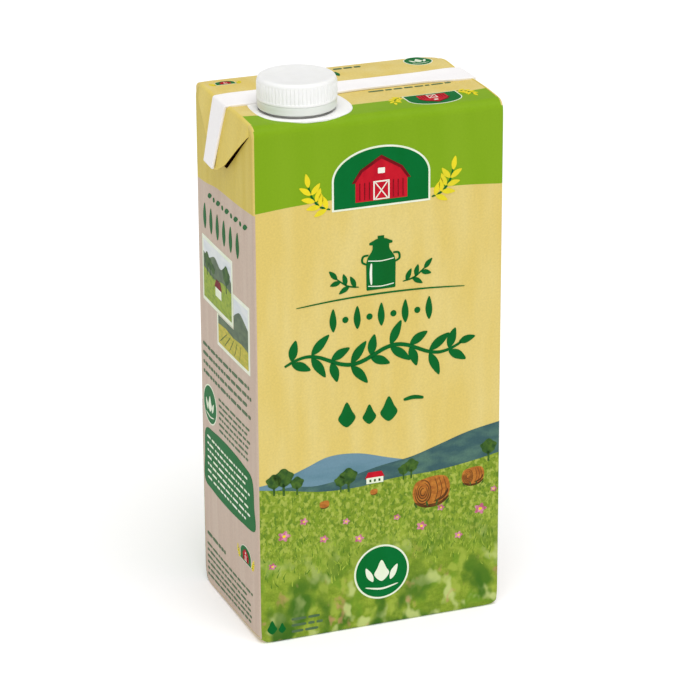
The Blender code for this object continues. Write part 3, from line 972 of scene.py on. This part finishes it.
lime = Ink("print_lime_band", lime_ink, 1)
side_field = Ink("print_side_field", beige_ink, 1)
far_hill = Ink("print_far_hills", far_hill_ink, 1)
near_hill = Ink("print_near_hills", near_hill_ink, 2)
meadow = Ink("print_meadow", meadow_ink, 3)
tree_print = Ink("print_trees", tree_ink, 4)
pale_under = Ink("print_pale_grounds", pale_ink, 4)
tile_sky = Ink("print_tile_sky", grey_ink, 5)
tile_hill = Ink("print_tile_hills", tile_hill_ink, 6)
tile_field = Ink("print_tile_fields", tile_field_ink, 7)
tile_gold = Ink("print_tile_crops", tile_gold_ink, 7)
tile_tree = Ink("print_tile_trees", tree_ink, 8)
tile_house = Ink("print_tile_house", pale_ink, 8)
side_yellow = Ink("print_side_yellow", side_yellow_ink, 1)
dark_green = Ink("print_dark_green", dark_green_ink, 5)
deep_green = Ink("print_green_panels", deep_green_ink, 5)
bale = Ink("print_bales", bale_ink, 5)
bale_dark = Ink("print_bale_shade", bale_dark_ink, 6)
red = Ink("print_barn_red", red_ink, 6)
dark_red = Ink("print_barn_shade", dark_red_ink, 9)
pale_over = Ink("print_pale_details", pale_ink, 7)
yellow = Ink("print_grain_yellow", yellow_ink, 6)
blossom = Ink("print_blooms", blossom_ink, 5)


# ---------------------------------------------------------------- motifs
def badge(face, u, v, size=1.0, turn=0.0):
    """A green arch with a farm barn in it and a spray of grain to either side; u, v is the
    middle of the arch, a little above its foot."""
    def at(loop):
        return moved(loop, u, v, size, turn)

    def arch(half, foot, spring, rise):
        return [(-half, foot), (half, foot)] + [
            (half * math.cos(math.pi * i / 40), spring + rise * math.sin(math.pi * i / 40))
            for i in range(41)]
    pale_under.print_on(face, at(arch(18.2, -6.0, 4.6, 11.4)))
    deep_green.print_on(face, at(arch(17.5, -5.3, 4.6, 10.7)))
    barn = [(-9.6, -3.6), (9.6, -3.6), (9.6, 3.4), (10.9, 3.4), (7.8, 7.9), (0, 12.6),
            (-7.8, 7.9), (-10.9, 3.4), (-9.6, 3.4)]
    red.print_on(face, at(barn))
    roof = [(-10.9, 3.4), (-9.7, 3.4), (-7.0, 7.2), (0, 11.3), (7.0, 7.2), (9.7, 3.4),
            (10.9, 3.4), (7.8, 7.9), (0, 12.6), (-7.8, 7.9)]
    dark_red.print_on(face, at(roof))
    for k in (-8.0, -6.2, -4.4, 4.4, 6.2, 8.0):
        dark_red.print_on(face, at(panel(k - 0.16, -3.0, k + 0.16, 3.2, 0.1, 2)))
    pale_over.print_on(face, at([(-3.0, -3.4), (3.0, -3.4), (3.0, 3.4), (-3.0, 3.4)]),
                       at([(-2.5, -3.0), (2.5, -3.0), (2.5, 2.9), (-2.5, 2.9)]))
    pale_over.print_on(face, at([(-2.7, -3.3), (-2.2, -3.3), (2.7, 3.1), (2.2, 3.1)]))
    pale_over.print_on(face, at([(2.2, -3.3), (2.7, -3.3), (-2.2, 3.1), (-2.7, 3.1)]))
    pale_over.print_on(face, at(panel(-1.3, 6.0, 1.3, 8.0, 0.25, 2)))
    stem = [(18.8, -4.9), (22.6, -3.4), (25.6, 0.4), (27.0, 5.4)]
    sprays = [(20.2, -4.6, -0.45), (20.0, -4.5, 1.25), (22.6, -3.4, -0.10), (22.4, -3.4, 1.60),
              (24.5, -1.4, 0.25), (24.2, -1.4, 1.95), (25.9, 1.2, 0.60), (25.7, 1.2, 2.25),
              (26.8, 4.0, 1.40)]
    for side in (-1, 1):
        parts = [(dark_green, stroke(stem, 0.8, 0.5))]
        parts += [(yellow, leaf(su, sv, 5.0, 2.3, lean)) for su, sv, lean in sprays]
        for ink, part in parts:
            ink.print_on(face, at(part if side > 0 else mirrored(part, 0.0)))


def seal(face, u, v, radius):
    """A round seal: pale rim, green ground, a milk drop between two leaves."""
    pale_under.print_on(face, ellipse(u, v, radius, count=64))
    deep_green.print_on(face, ellipse(u, v, radius * 0.935, count=64))
    k = radius / 10.5
    pale_over.print_on(face, moved(drop(0, -3.6, 8.2), u, v, k))
    for side in (-1, 1):
        blade = leaf(0, 0, 6.2, 2.6, math.radians(64 if side > 0 else 116))
        pale_over.print_on(face, moved(blade, u + side * 3.3 * k, v - 3.4 * k, k))
    pale_over.print_on(face, moved(stroke([(-6.2, -5.4), (0, -6.6), (6.2, -5.4)], 0.7), u, v, k))


def churn(face, u, v, tall, ink):
    """A milk churn, seen from the side, u, v at the middle of its foot."""
    k = tall / 20.0
    body = [(-5.4, 0.3), (-5.1, 0), (5.1, 0), (5.4, 0.3), (5.5, 9.8), (5.0, 11.8), (3.4, 14.2),
            (3.1, 15.0), (3.1, 16.4), (4.3, 16.6), (4.3, 17.3), (2.2, 18.3), (1.2, 18.6),
            (1.2, 19.6), (-1.2, 19.6), (-1.2, 18.6), (-2.2, 18.3), (-4.3, 17.3), (-4.3, 16.6),
            (-3.1, 16.4), (-3.1, 15.0), (-3.4, 14.2), (-5.0, 11.8), (-5.5, 9.8)]
    ink.print_on(face, moved(body, u, v, k))
    for side in (-1, 1):
        handle = moved(stroke([(4.6, 12.9), (6.6, 12.6), (6.9, 10.6), (5.3, 9.6)], 0.8, 0.7),
                       u, v, k)
        ink.print_on(face, handle if side > 0 else mirrored(handle, u))
    shine = stroke([(-3.6, 2.0), (-3.8, 6), (-3.6, 9.8)], 0.9, 0.4)
    hoops = [stroke([(-4.8, low), (0, low - 0.5), (4.8, low)], 0.35, 0.8) for low in (1.6, 10.9)]
    for part in [shine] + hoops:
        pale_over.print_on(face, moved(part, u, v, k))


def sprig(face, u, v, size, side, ink):
    """A small twig with five leaves, leaning to one side."""
    stem = [(0, 0), (5, 1.2), (10, 5.0)]
    parts = [stroke(stem, 0.7, 0.4)]
    for along, lean, length in ((1.5, 1.15, 5.4), (4.2, -0.55, 5.2), (5.6, 1.35, 5.0),
                                (8.0, -0.25, 4.6), (9.4, 0.85, 5.2)):
        parts.append(leaf(along, 0.05 * along * along, length, 2.5, lean))
    for part in parts:
        part = moved(part, u, v, size)
        ink.print_on(face, part if side > 0 else mirrored(part, u))


def garland(face, u0, u1, v, ink, swing=2.6, leaf_length=9.4):
    """A broad painted garland: a waving stem with full leaves in pairs."""
    count = 9
    line = [(u0 + (u1 - u0) * i / 16, v + swing * math.sin(i * math.pi / 4)) for i in range(17)]
    ink.print_on(face, stroke(line, 1.5, 0.5))
    for i in range(count):
        t = (i + 0.35) / count
        u = u0 + (u1 - u0) * t
        mid = v + swing * math.sin(t * 4 * math.pi)
        slope = math.atan(swing * 4 * math.pi / (u1 - u0) * math.cos(t * 4 * math.pi))
        for side, lean in ((1, 0.95), (-1, -0.85)):
            ink.print_on(face, leaf(u, mid + side * 0.5, leaf_length * (0.82 + 0.18 * (i % 2)),
                                    3.9, slope + lean))
    ink.print_on(face, leaf(u1 - 1.0, line[-1][1], 6.5, 3.2, 0.25))


def repeat_tree():
    """Geometry Nodes: one printed mark set down on every given point, turned and stretched by
    the point's own values."""
    tree, ids, given = geometry_tree("printed_marks", (
        ("Geometry", "Geometry"), ("Mark", "Object"), ("Mark size", "Float"),
        ("Material", "Material")))
    mark = add(tree, "GeometryNodeObjectInfo", {"Object": given["Mark"]})
    facing, stretch = (add(tree, "GeometryNodeInputNamedAttribute", {"Name": label},
                           data_type="FLOAT_VECTOR") for label in ("facing", "stretch"))
    size = add(tree, "ShaderNodeVectorMath", {0: stretch.outputs["Attribute"],
                                              "Scale": given["Mark size"]}, operation="SCALE")
    turn = add(tree, "FunctionNodeEulerToRotation", {0: facing.outputs["Attribute"]})
    set_down = add(tree, "GeometryNodeInstanceOnPoints",
                   {"Points": given["Geometry"], "Instance": mark.outputs["Geometry"],
                    "Rotation": turn.outputs[0], "Scale": size.outputs[0]})
    real = add(tree, "GeometryNodeRealizeInstances", {"Geometry": set_down.outputs[0]})
    inked = add(tree, "GeometryNodeSetMaterial", {"Geometry": real.outputs[0],
                                                  "Material": given["Material"]})
    add(tree, "NodeGroupOutput", {"Geometry": inked.outputs[0]})
    return tree, ids


MARKS_TREE, MARKS_IDS = repeat_tree()
QUARTER = math.pi / 2
FACE_TURN = {"front": (QUARTER, 0), "back": (QUARTER, math.pi), "left": (QUARTER, -QUARTER),
             "right": (QUARTER, QUARTER), "top": (0, 0)}


def marks(name, spots, outline, mat, level):
    """spots: (face, u, v, turn, wide, tall); outline: the mark's shape, about 1 across."""
    count = len(outline)
    verts = [(u, v, z) for z in (0.0, -MARK_DEPTH) for u, v in outline]
    faces = [tuple(range(count)), tuple(range(2 * count - 1, count - 1, -1))]
    faces += [(i, i + count, (i + 1) % count + count, (i + 1) % count) for i in range(count)]
    mark = new_piece(name + "_mark", verts, faces, mat, 35)
    points = [place_on(face, u, v, level * INK_STEP) for face, u, v, *_ in spots]
    obj = new_piece(name, points, [], mat)
    facing, stretch = (obj.data.attributes.new(label, "FLOAT_VECTOR", "POINT")
                       for label in ("facing", "stretch"))
    for i, (face, u, v, turn, wide, tall) in enumerate(spots):
        stand, around = FACE_TURN[face]
        facing.data[i].vector = (stand, -turn, around) if stand else (0, 0, turn)
        stretch.data[i].vector = (wide, tall, 1.0)
    mod = obj.modifiers.new("marks", "NODES")
    mod.node_group = MARKS_TREE
    for label, value in (("Mark", mark), ("Mark size", 1.0), ("Material", mat)):
        mod[MARKS_IDS[label]] = value
    settle_modifiers(obj)
    bpy.data.objects.remove(mark)
    smooth(obj, 35)
    carry(obj, "coated_board")


BAR = panel(-0.5, -0.5, 0.5, 0.5, 0.22, 2)
BLADE = [(-0.055, 0.0), (0.055, 0.0), (0.075, 0.3), (0.06, 0.6), (0.12, 1.0), (-0.01, 0.62),
         (-0.06, 0.3)]
print_spots, pale_spots = [], []


def lines_of_print(store, face, u0, u1, top, count, pitch, tall, seed):
    """Lines of fine print, as bars of word length, added to a list of marks."""
    luck = random.Random(seed)
    for row in range(count):
        u, end = u0, u1 - luck.uniform(0, 6)
        while u < end - 1.5:
            length = min(luck.choice((1.6, 2.4, 3.2, 4.4, 5.6)), end - u)
            store.append((face, u + length / 2, top - pitch * row, 0.0, length, tall))
            u += length + 0.75


# ---------------------------------------------------------------- front and back design
# the front's print starts inside the rounded left edge, the side's goes round to meet it
MEET_U = HALF_W - EDGE_X + 0.75 * SIDE_EDGE * math.pi / 2
FRONT_PART, SIDE_PART = (MEET_U, SIDE_EDGE), (-1.0, MEET_U)
LEFT_U, RIGHT_U = SIDE_EDGE, 2 * HALF_W - SIDE_EDGE
FAR_RIDGE = [(LEFT_U, 61.5), (8, 62.5), (18, 66.0), (27, 69.0), (38, 68.5), (50, 65.0),
             (60, 62.5), (72, 61.0), (84, 61.5), (RIGHT_U, 62.5)]
NEAR_RIDGE = [(LEFT_U, 58.0), (12, 59.5), (22, 58.5), (34, 60.0), (46, 62.5), (58, 64.2),
              (68, 67.0), (80, 70.5), (RIGHT_U, 72.5)]
MEADOW_RIDGE = [(LEFT_U, 60.0), (10, 58.5), (24, 56.0), (38, 55.6), (52, 57.0), (66, 57.2),
                (80, 58.6), (RIGHT_U, 60.5)]
LIME_LOW, MEADOW_STRIP, PRINT_FOOT = 162.3, 3.0, -0.6
BAND_LINE = [(LEFT_U, LIME_LOW), (18, 163.6), (46.2, 164.4), (75, 163.6), (RIGHT_U, LIME_LOW)]
SEAL_U, SEAL_V, SEAL_RADIUS = 46.6, 21.0, 10.6


def round_bale(face, u, v, size, detail):
    """A round bale of hay lying on its side, half turned to the viewer; u, v under its end."""
    def at(loop):
        return moved(loop, u, v, size)
    body = through([(0.4, 0.1), (-2.9, 1.4), (-3.9, 5.0), (-2.8, 8.7), (0.4, 10.0), (5.4, 10.6),
                    (9.0, 9.6), (10.3, 6.0), (9.4, 2.0), (6.4, 0.4)], True, 5)
    bale.print_on(face, at(body))
    bale_dark.print_on(face, at(stroke([(-3.0, 1.2), (1.0, -0.5), (6.4, -0.1), (9.8, 2.2)],
                                       1.2, 0.3)))
    if not detail:
        return
    for k in (3.9, 3.0, 2.1, 1.2):
        ring = [(k * 0.78 * math.cos(a), 5.0 + k * 1.16 * math.sin(a))
                for a in (0.4 + 0.6 * k + 5.4 * i / 10 for i in range(11))]
        bale_dark.print_on(face, at(stroke(ring, 0.42, 0.3, 3)))
    for k in (4.6, 6.2, 7.8):
        straw = stroke([(k, 0.9), (k + 1.1, 5.2), (k - 0.1, 9.9)], 0.26, 0.5, 3)
        bale_dark.print_on(face, at(straw))
    bale_dark.print_on(face, at(through([(4.0, 0.8), (7.0, 1.2), (9.3, 3.2), (9.6, 5.4),
                                         (8.2, 3.2), (6.0, 1.9)], True, 4)))
    for du, lean in ((-2.2, 0.5), (1.8, 0.2), (5.0, -0.3), (8.6, -0.6)):
        tile_tree.print_on(face, at(leaf(du, -0.7, 2.4, 0.8, QUARTER + lean)))


def farmhouse(face, u, v, size):
    """A low house with a steep red roof, seen across the field; u, v under its middle."""
    def at(loop):
        return moved(loop, u, v, size)
    pale_over.print_on(face, at([(-5.2, 0), (5.2, 0), (5.2, 3.6), (-5.2, 3.6)]))
    red.print_on(face, at([(-6.0, 3.3), (6.0, 3.3), (4.2, 7.0), (-4.2, 7.0)]))
    for k in (-3.4, -0.6, 2.2):
        tile_tree.print_on(face, at(panel(k, 0.9, k + 1.2, 2.5, 0.15, 2)))


def blossom_shape(u, v, r):
    """A flower with five rounded petals, as an outline."""
    return [(u + r * math.cos(a) * (0.80 + 0.20 * math.cos(5 * a)),
             v + 0.86 * r * math.sin(a) * (0.80 + 0.20 * math.cos(5 * a)))
            for a in (2 * math.pi * i / 50 for i in range(50))]


def round_tree(ink, face, u, v, size):
    """A tree with a round crown; u, v at the foot of its trunk."""
    ink.print_on(face, moved(panel(-0.25, -0.3, 0.25, 2.2, 0.1, 2), u, v, size))
    crown = [(1.9 * math.cos(a) * (1 + 0.12 * math.sin(5 * a)),
              3.3 + 1.7 * math.sin(a) * (1 + 0.10 * math.cos(4 * a)))
             for a in (2 * math.pi * i / 36 for i in range(36))]
    ink.print_on(face, moved(crown, u, v, size))


BLOOMS = [(9.5, 41.0, 2.5), (17.0, 45.5, 1.7), (24.5, 37.5, 1.8), (33.0, 43.0, 1.5),
          (38.0, 35.5, 1.9), (62.0, 36.5, 2.1), (69.5, 42.5, 1.5), (85.0, 39.5, 2.6),
          (90.2, 46.5, 1.4), (5.0, 30.0, 1.6), (76.5, 30.5, 1.7), (52.5, 41.5, 1.4)]


def main_face(face):
    """The design of the front panel; the back panel carries it too."""
    top = TOP_START + 10.0 if face == "front" else FRONT_HIGH - 0.6
    lime.print_on(face, through(BAND_LINE, False, 10) + [
        (RIGHT_U, min(top, TOP_START)), (RIGHT_U - 0.25, top), (LEFT_U + 0.25, top),
        (LEFT_U, min(top, TOP_START))])
    edge_tops = (FRONT_HIGH + 2.5, FRONT_HIGH + 1.5) if face == "front" else (top, top)
    lime.roll_round(face, (LIME_LOW, LIME_LOW), edge_tops, part=FRONT_PART)
    badge(face, 46.6, 165.6)
    churn(face, 46.4, 129.3, 20.0, dark_green)
    for u, side in ((54.6, 1), (38.2, -1)):
        sprig(face, u, 131.0, 0.86, side, dark_green)
    dark_green.print_on(face, stroke([(15, 126.2), (30, 127.3), (46.5, 127.7), (63, 127.3),
                                      (78, 126.2)], 0.62, 0.35))
    for i in range(9):
        u = 28.6 + 4.5 * i
        if i % 2:
            dark_green.print_on(face, ellipse(u, 119.6, 1.15, count=20))
        else:
            dark_green.print_on(face, leaf(u, 115.6, 8.6, 3.0, QUARTER))
    garland(face, 10.5, 77.0, 105.2, dark_green)
    for u, tall in ((33.5, 9.4), (42.0, 7.4), (49.4, 9.4)):
        dark_green.print_on(face, drop(u, 79.2, tall))
    dark_green.print_on(face, stroke([(55.0, 86.4), (58.8, 86.9), (62.6, 86.2)], 1.5, 0.4))
    # landscape
    hill_foot = [(LEFT_U, 53.0), (RIGHT_U, 55.0)]
    far_hill.print_on(face, through(FAR_RIDGE, False, 8)[::-1] + hill_foot)
    far_hill.roll_round(face, (58.0, 59.0), (61.5, 62.5), part=FRONT_PART)
    near_hill.print_on(face, through(NEAR_RIDGE, False, 8)[::-1] + hill_foot)
    near_hill.roll_round(face, (56.5, 58.5), (58.0, 72.5), part=FRONT_PART)
    meadow.print_on(face, through(MEADOW_RIDGE, False, 8)[::-1]
                    + [(LEFT_U, MEADOW_STRIP), (RIGHT_U, MEADOW_STRIP)])
    meadow.strip(face, LEFT_U, RIGHT_U, PRINT_FOOT, MEADOW_STRIP)
    meadow.roll_round(face, (PRINT_FOOT, PRINT_FOOT), (60.0, 60.5), part=FRONT_PART)
    side_field.roll_round(face, (PRINT_FOOT, PRINT_FOOT), (161.6, 161.6), (0,), SIDE_PART)
    for u, v, size in ((6.0, 57.6, 1.5), (9.6, 57.2, 1.9), (14.6, 56.6, 1.3), (31.0, 55.0, 1.2),
                       (34.0, 54.8, 1.7), (55.0, 56.0, 1.1), (58.0, 56.2, 1.4), (88.0, 58.2, 1.6)):
        round_tree(tree_print, face, u, v, size)
    for u, v, size, detail in ((62.5, 44.5, 1.02, True), (80.0, 49.8, 0.62, True),
                               (24.0, 49.6, 0.26, False), (43.0, 51.8, 0.20, False)):
        round_bale(face, u, v, size, detail)
    farmhouse(face, 44.0, 56.2, 0.62)
    for u, v, r in BLOOMS:
        blossom.print_on(face, blossom_shape(u, v, r))
        yellow.print_on(face, ellipse(u, v, 0.26 * r, 0.22 * r, count=16))
    seal(face, SEAL_U, SEAL_V, SEAL_RADIUS)
    for u, tall in ((4.6, 5.4), (8.4, 4.0)):
        dark_green.print_on(face, drop(u, 3.4, tall))
    lines_of_print(print_spots, face, 12.0, 27.0, 8.0, 3, 2.4, 1.0, 11)


def side_face(face):
    """The narrow sides: yellow above, a beige field under a waved edge, two small pictures and
    fine print."""
    wave = [(0.9, 158.0), (10, 158.6), (22, 160.2), (34, 160.6), (46, 160.9), (59.1, 161.6)]
    if face == "right":
        wave = [(60 - u, v) for u, v in reversed(wave)]
    wave = through(wave, False, 8)
    side_field.print_on(face, [(0.9, 1.8), (1.4, 1.1), (58.6, 1.1), (59.1, 1.8)] + wave[::-1])
    upper = [(59.1, 188.5), (56.5, 191.7), (3.5, 191.7), (0.9, 188.5)]
    pocket = [(u + HALF_D, v) for u, v in pocket_outline()]
    side_yellow.print_on(face, wave + upper, pocket)
    for i in range(9):
        u = 14.5 + 4.6 * i
        if i % 2:
            dark_green.print_on(face, ellipse(u, 154.8, 0.9, count=18))
        else:
            dark_green.print_on(face, leaf(u - 2.0, 154.2, 4.6, 2.2, 0.35))
    for i in range(6):
        dark_green.print_on(face, leaf(8.6 + 7.0 * i, 141.0, 9.6, 3.8, QUARTER))
    # two framed pictures, the upper one lapping over the lower
    pale_under.print_on(face, [(20.5, 101.2), (54.5, 101.2), (54.5, 126.4), (38.4, 126.4),
                               (38.4, 113.2), (20.5, 113.2)])
    tile_sky.print_on(face, [(38.6, 114.0), (53.0, 114.0), (53.0, 125.0), (38.6, 125.0)])
    tile_hill.print_on(face, [(22.0, 108.0), (53.0, 108.0), (53.0, 117.4)] + through(
        [(53.0, 117.4), (49, 119.6), (45, 121.2), (41.5, 120.0), (38.6, 118.2)], False)[1:]
        + [(38.6, 113.0), (22.0, 113.0)])
    tile_gold.print_on(face, [(22.0, 102.6), (53.0, 102.6), (53.0, 109.4), (46, 110.2),
                              (38, 109.6), (30, 110.4), (22.0, 109.8)])
    pale_under.print_on(face, panel(5.0, 113.5, 38.0, 138.2, 0.3))
    tile_sky.print_on(face, panel(6.4, 115.0, 36.6, 136.8, 0.2))
    tile_hill.print_on(face, [(6.4, 120.0), (36.6, 120.0)] + through(
        [(36.6, 129.6), (31, 132.6), (25, 131.0), (19, 133.4), (12, 131.2), (6.4, 132.0)], False))
    tile_field.print_on(face, [(6.4, 115.0), (36.6, 115.0)] + through(
        [(36.6, 125.6), (28, 126.6), (18, 125.0), (6.4, 126.4)], False))
    for u, v, size in ((10.5, 124.6, 1.6), (13.8, 125.2, 1.2), (17.0, 125.0, 1.0),
                       (31.5, 124.4, 1.9)):
        round_tree(tile_tree, face, u, v, size)
    # a small farmhouse in the upper picture, furrows in the lower one
    tile_house.print_on(face, [(19.6, 119.4), (26.0, 119.4), (26.0, 123.0), (19.6, 123.0)])
    dark_red.print_on(face, [(18.8, 122.8), (26.8, 122.8), (25.0, 125.8), (20.6, 125.8)])
    for i in range(5):
        tile_tree.print_on(face, stroke([(23.5 + 5.2 * i, 103.4), (27.4 + 4.4 * i, 106.0),
                                         (31.6 + 3.4 * i, 108.8)], 0.42, 0.5, 4))
    lines_of_print(print_spots, face, 3.6, 55.0, 96.0, 4, 3.6, 1.25, 21)
    seal(face, 10.4, 74.0, 7.6)
    lines_of_print(print_spots, face, 20.5, 56.0, 80.0, 6, 2.4, 0.85, 33)
    deep_green.print_on(face, through([(2.6, 42.0), (3.0, 52.0), (4.4, 62.4), (14, 64.6),
                                       (30, 65.4), (46, 64.4), (54.6, 62.0), (56.2, 52.0),
                                       (56.6, 43.0), (44, 41.2), (28, 40.4), (12, 40.6)]))
    lines_of_print(pale_spots, face, 6.5, 53.0, 60.6, 7, 2.7, 0.85, 45)
    badge(face, 46.8, 28.4, 0.30)
    lines_of_print(print_spots, face, 4.0, 26.0, 21.0, 1, 2.6, 1.3, 51)
    lines_of_print(print_spots, face, 3.6, 54.0, 16.6, 6, 2.5, 0.85, 57)


for face in ("front", "back"):
    main_face(face)
for face in ("left", "right"):
    side_face(face)
side_field.roll_round("base", (0.0, 0.0), (BASE_END - BASE_START, BASE_END - BASE_START))
# top: the small badge reads from behind; a line of print, a seal and another badge
badge("top", 70.5, 12.4, 0.55, math.pi)
lines_of_print(print_spots, "top", 52.0, 86.0, 25.5, 1, 2.0, 1.1, 61)
seal("top", 82.0, 53.2, 5.3)
lines_of_print(print_spots, "top", 50.0, 63.0, 54.5, 1, 2.0, 1.5, 63)
badge("top", 8.6, 52.0, 0.20)
dark_green.print_on("top", leaf(49.2, 46.4, 4.8, 2.2, QUARTER))

for ink in INKS:
    ink.done()
marks("print_fine_lines", print_spots, BAR, text_ink, 5)
marks("print_pale_lines", pale_spots, BAR, pale_ink, 6)

BLADES, GRASS_LOW, GRASS_HIGH = 1500, 14.0, 54.5
grass_light, grass_dark = [], []
luck = random.Random(818)
for face in ("front", "back"):
    for i in range(BLADES):
        u, v = luck.uniform(2.0, 90.5), luck.uniform(GRASS_LOW, GRASS_HIGH)
        # no blades over the seal, nor close by, where the grass is out of focus
        if (math.hypot(u - SEAL_U, v - SEAL_V) < SEAL_RADIUS + 1.6
                or v < 24.0 + 3.0 * math.sin(u / 9) - luck.uniform(0.0, 7.0)):
            continue
        near = 1 - (v - GRASS_LOW) / 42.0
        tall = luck.uniform(0.6, 1.2) * (0.8 + 2.2 * near)
        spot = (face, u, v, luck.gauss(0, 0.32), tall * luck.uniform(0.8, 1.4), tall)
        (grass_light if i % 3 else grass_dark).append(spot)
marks("print_light_grass", grass_light, BLADE, blade_ink, 4)
marks("print_dark_grass", grass_dark, BLADE, blade_dark_ink, 4)

# ---------------------------------------------------------------- floor, light and camera
# white paper, lit a little from below, as on a light table
floor_mat = new_material("studio_paper_white", {
    "Base Color": (0.96, 0.96, 0.96, 1), "Roughness": 0.9, "Specular IOR Level": 0.0,
    "Emission Color": (1, 1, 1, 1), "Emission Strength": 0.15})[0]
FLOOR_HALF = 9000
floor = new_piece("studio_floor", [(x * FLOOR_HALF, y * FLOOR_HALF, 0) for x, y in (
    (-1, -1), (1, -1), (1, 1), (-1, 1))], [(0, 1, 2, 3)], floor_mat)

world = bpy.data.worlds.new("studio")
bpy.context.scene.world = world
world.use_nodes = True
sky = world.node_tree.nodes["Background"]
sky.inputs["Color"].default_value = (1, 1, 1, 1)
sky.inputs["Strength"].default_value = 0.44


def softbox(name, towards, spread_degrees, strength):
    """A very large, far softbox: even over the whole floor."""
    data = bpy.data.lights.new(name, "SUN")
    data.angle = math.radians(spread_degrees)
    data.energy = strength
    obj = bpy.data.objects.new(name, data)
    obj.rotation_euler = Vector(towards).to_track_quat("Z", "Y").to_euler()
    bpy.context.scene.collection.objects.link(obj)


softbox("key_softbox", (-0.03, -0.25, 0.57), 50.0, 2.00)

CAMERA_M = (-0.399524, -1.036148, 0.525122)
YAW, PITCH, ROLL = 0.36824949, 0.36903564, -0.0042617
FOCAL_PX, FRAME_PX, SENSOR_MM = 3312.514, 700, 36.0
camera_data = bpy.data.cameras.new("photo_camera")
camera_data.sensor_width = SENSOR_MM
camera_data.lens = FOCAL_PX / FRAME_PX * SENSOR_MM
camera_data.clip_start, camera_data.clip_end = 0.05, 50
camera = bpy.data.objects.new("photo_camera", camera_data)
forward = Vector((math.sin(YAW) * math.cos(PITCH), math.cos(YAW) * math.cos(PITCH),
                  -math.sin(PITCH)))
flat_right = Vector((math.cos(YAW), -math.sin(YAW), 0.0))
flat_up = flat_right.cross(forward)
right = math.cos(ROLL) * flat_right + math.sin(ROLL) * flat_up
up = -math.sin(ROLL) * flat_right + math.cos(ROLL) * flat_up
camera.matrix_world = Matrix.Translation(CAMERA_M) @ Matrix(
    (right, up, -forward)).transposed().to_4x4()
bpy.context.scene.collection.objects.link(camera)
bpy.context.scene.camera = camera
bpy.context.scene.view_settings.view_transform = "Standard"
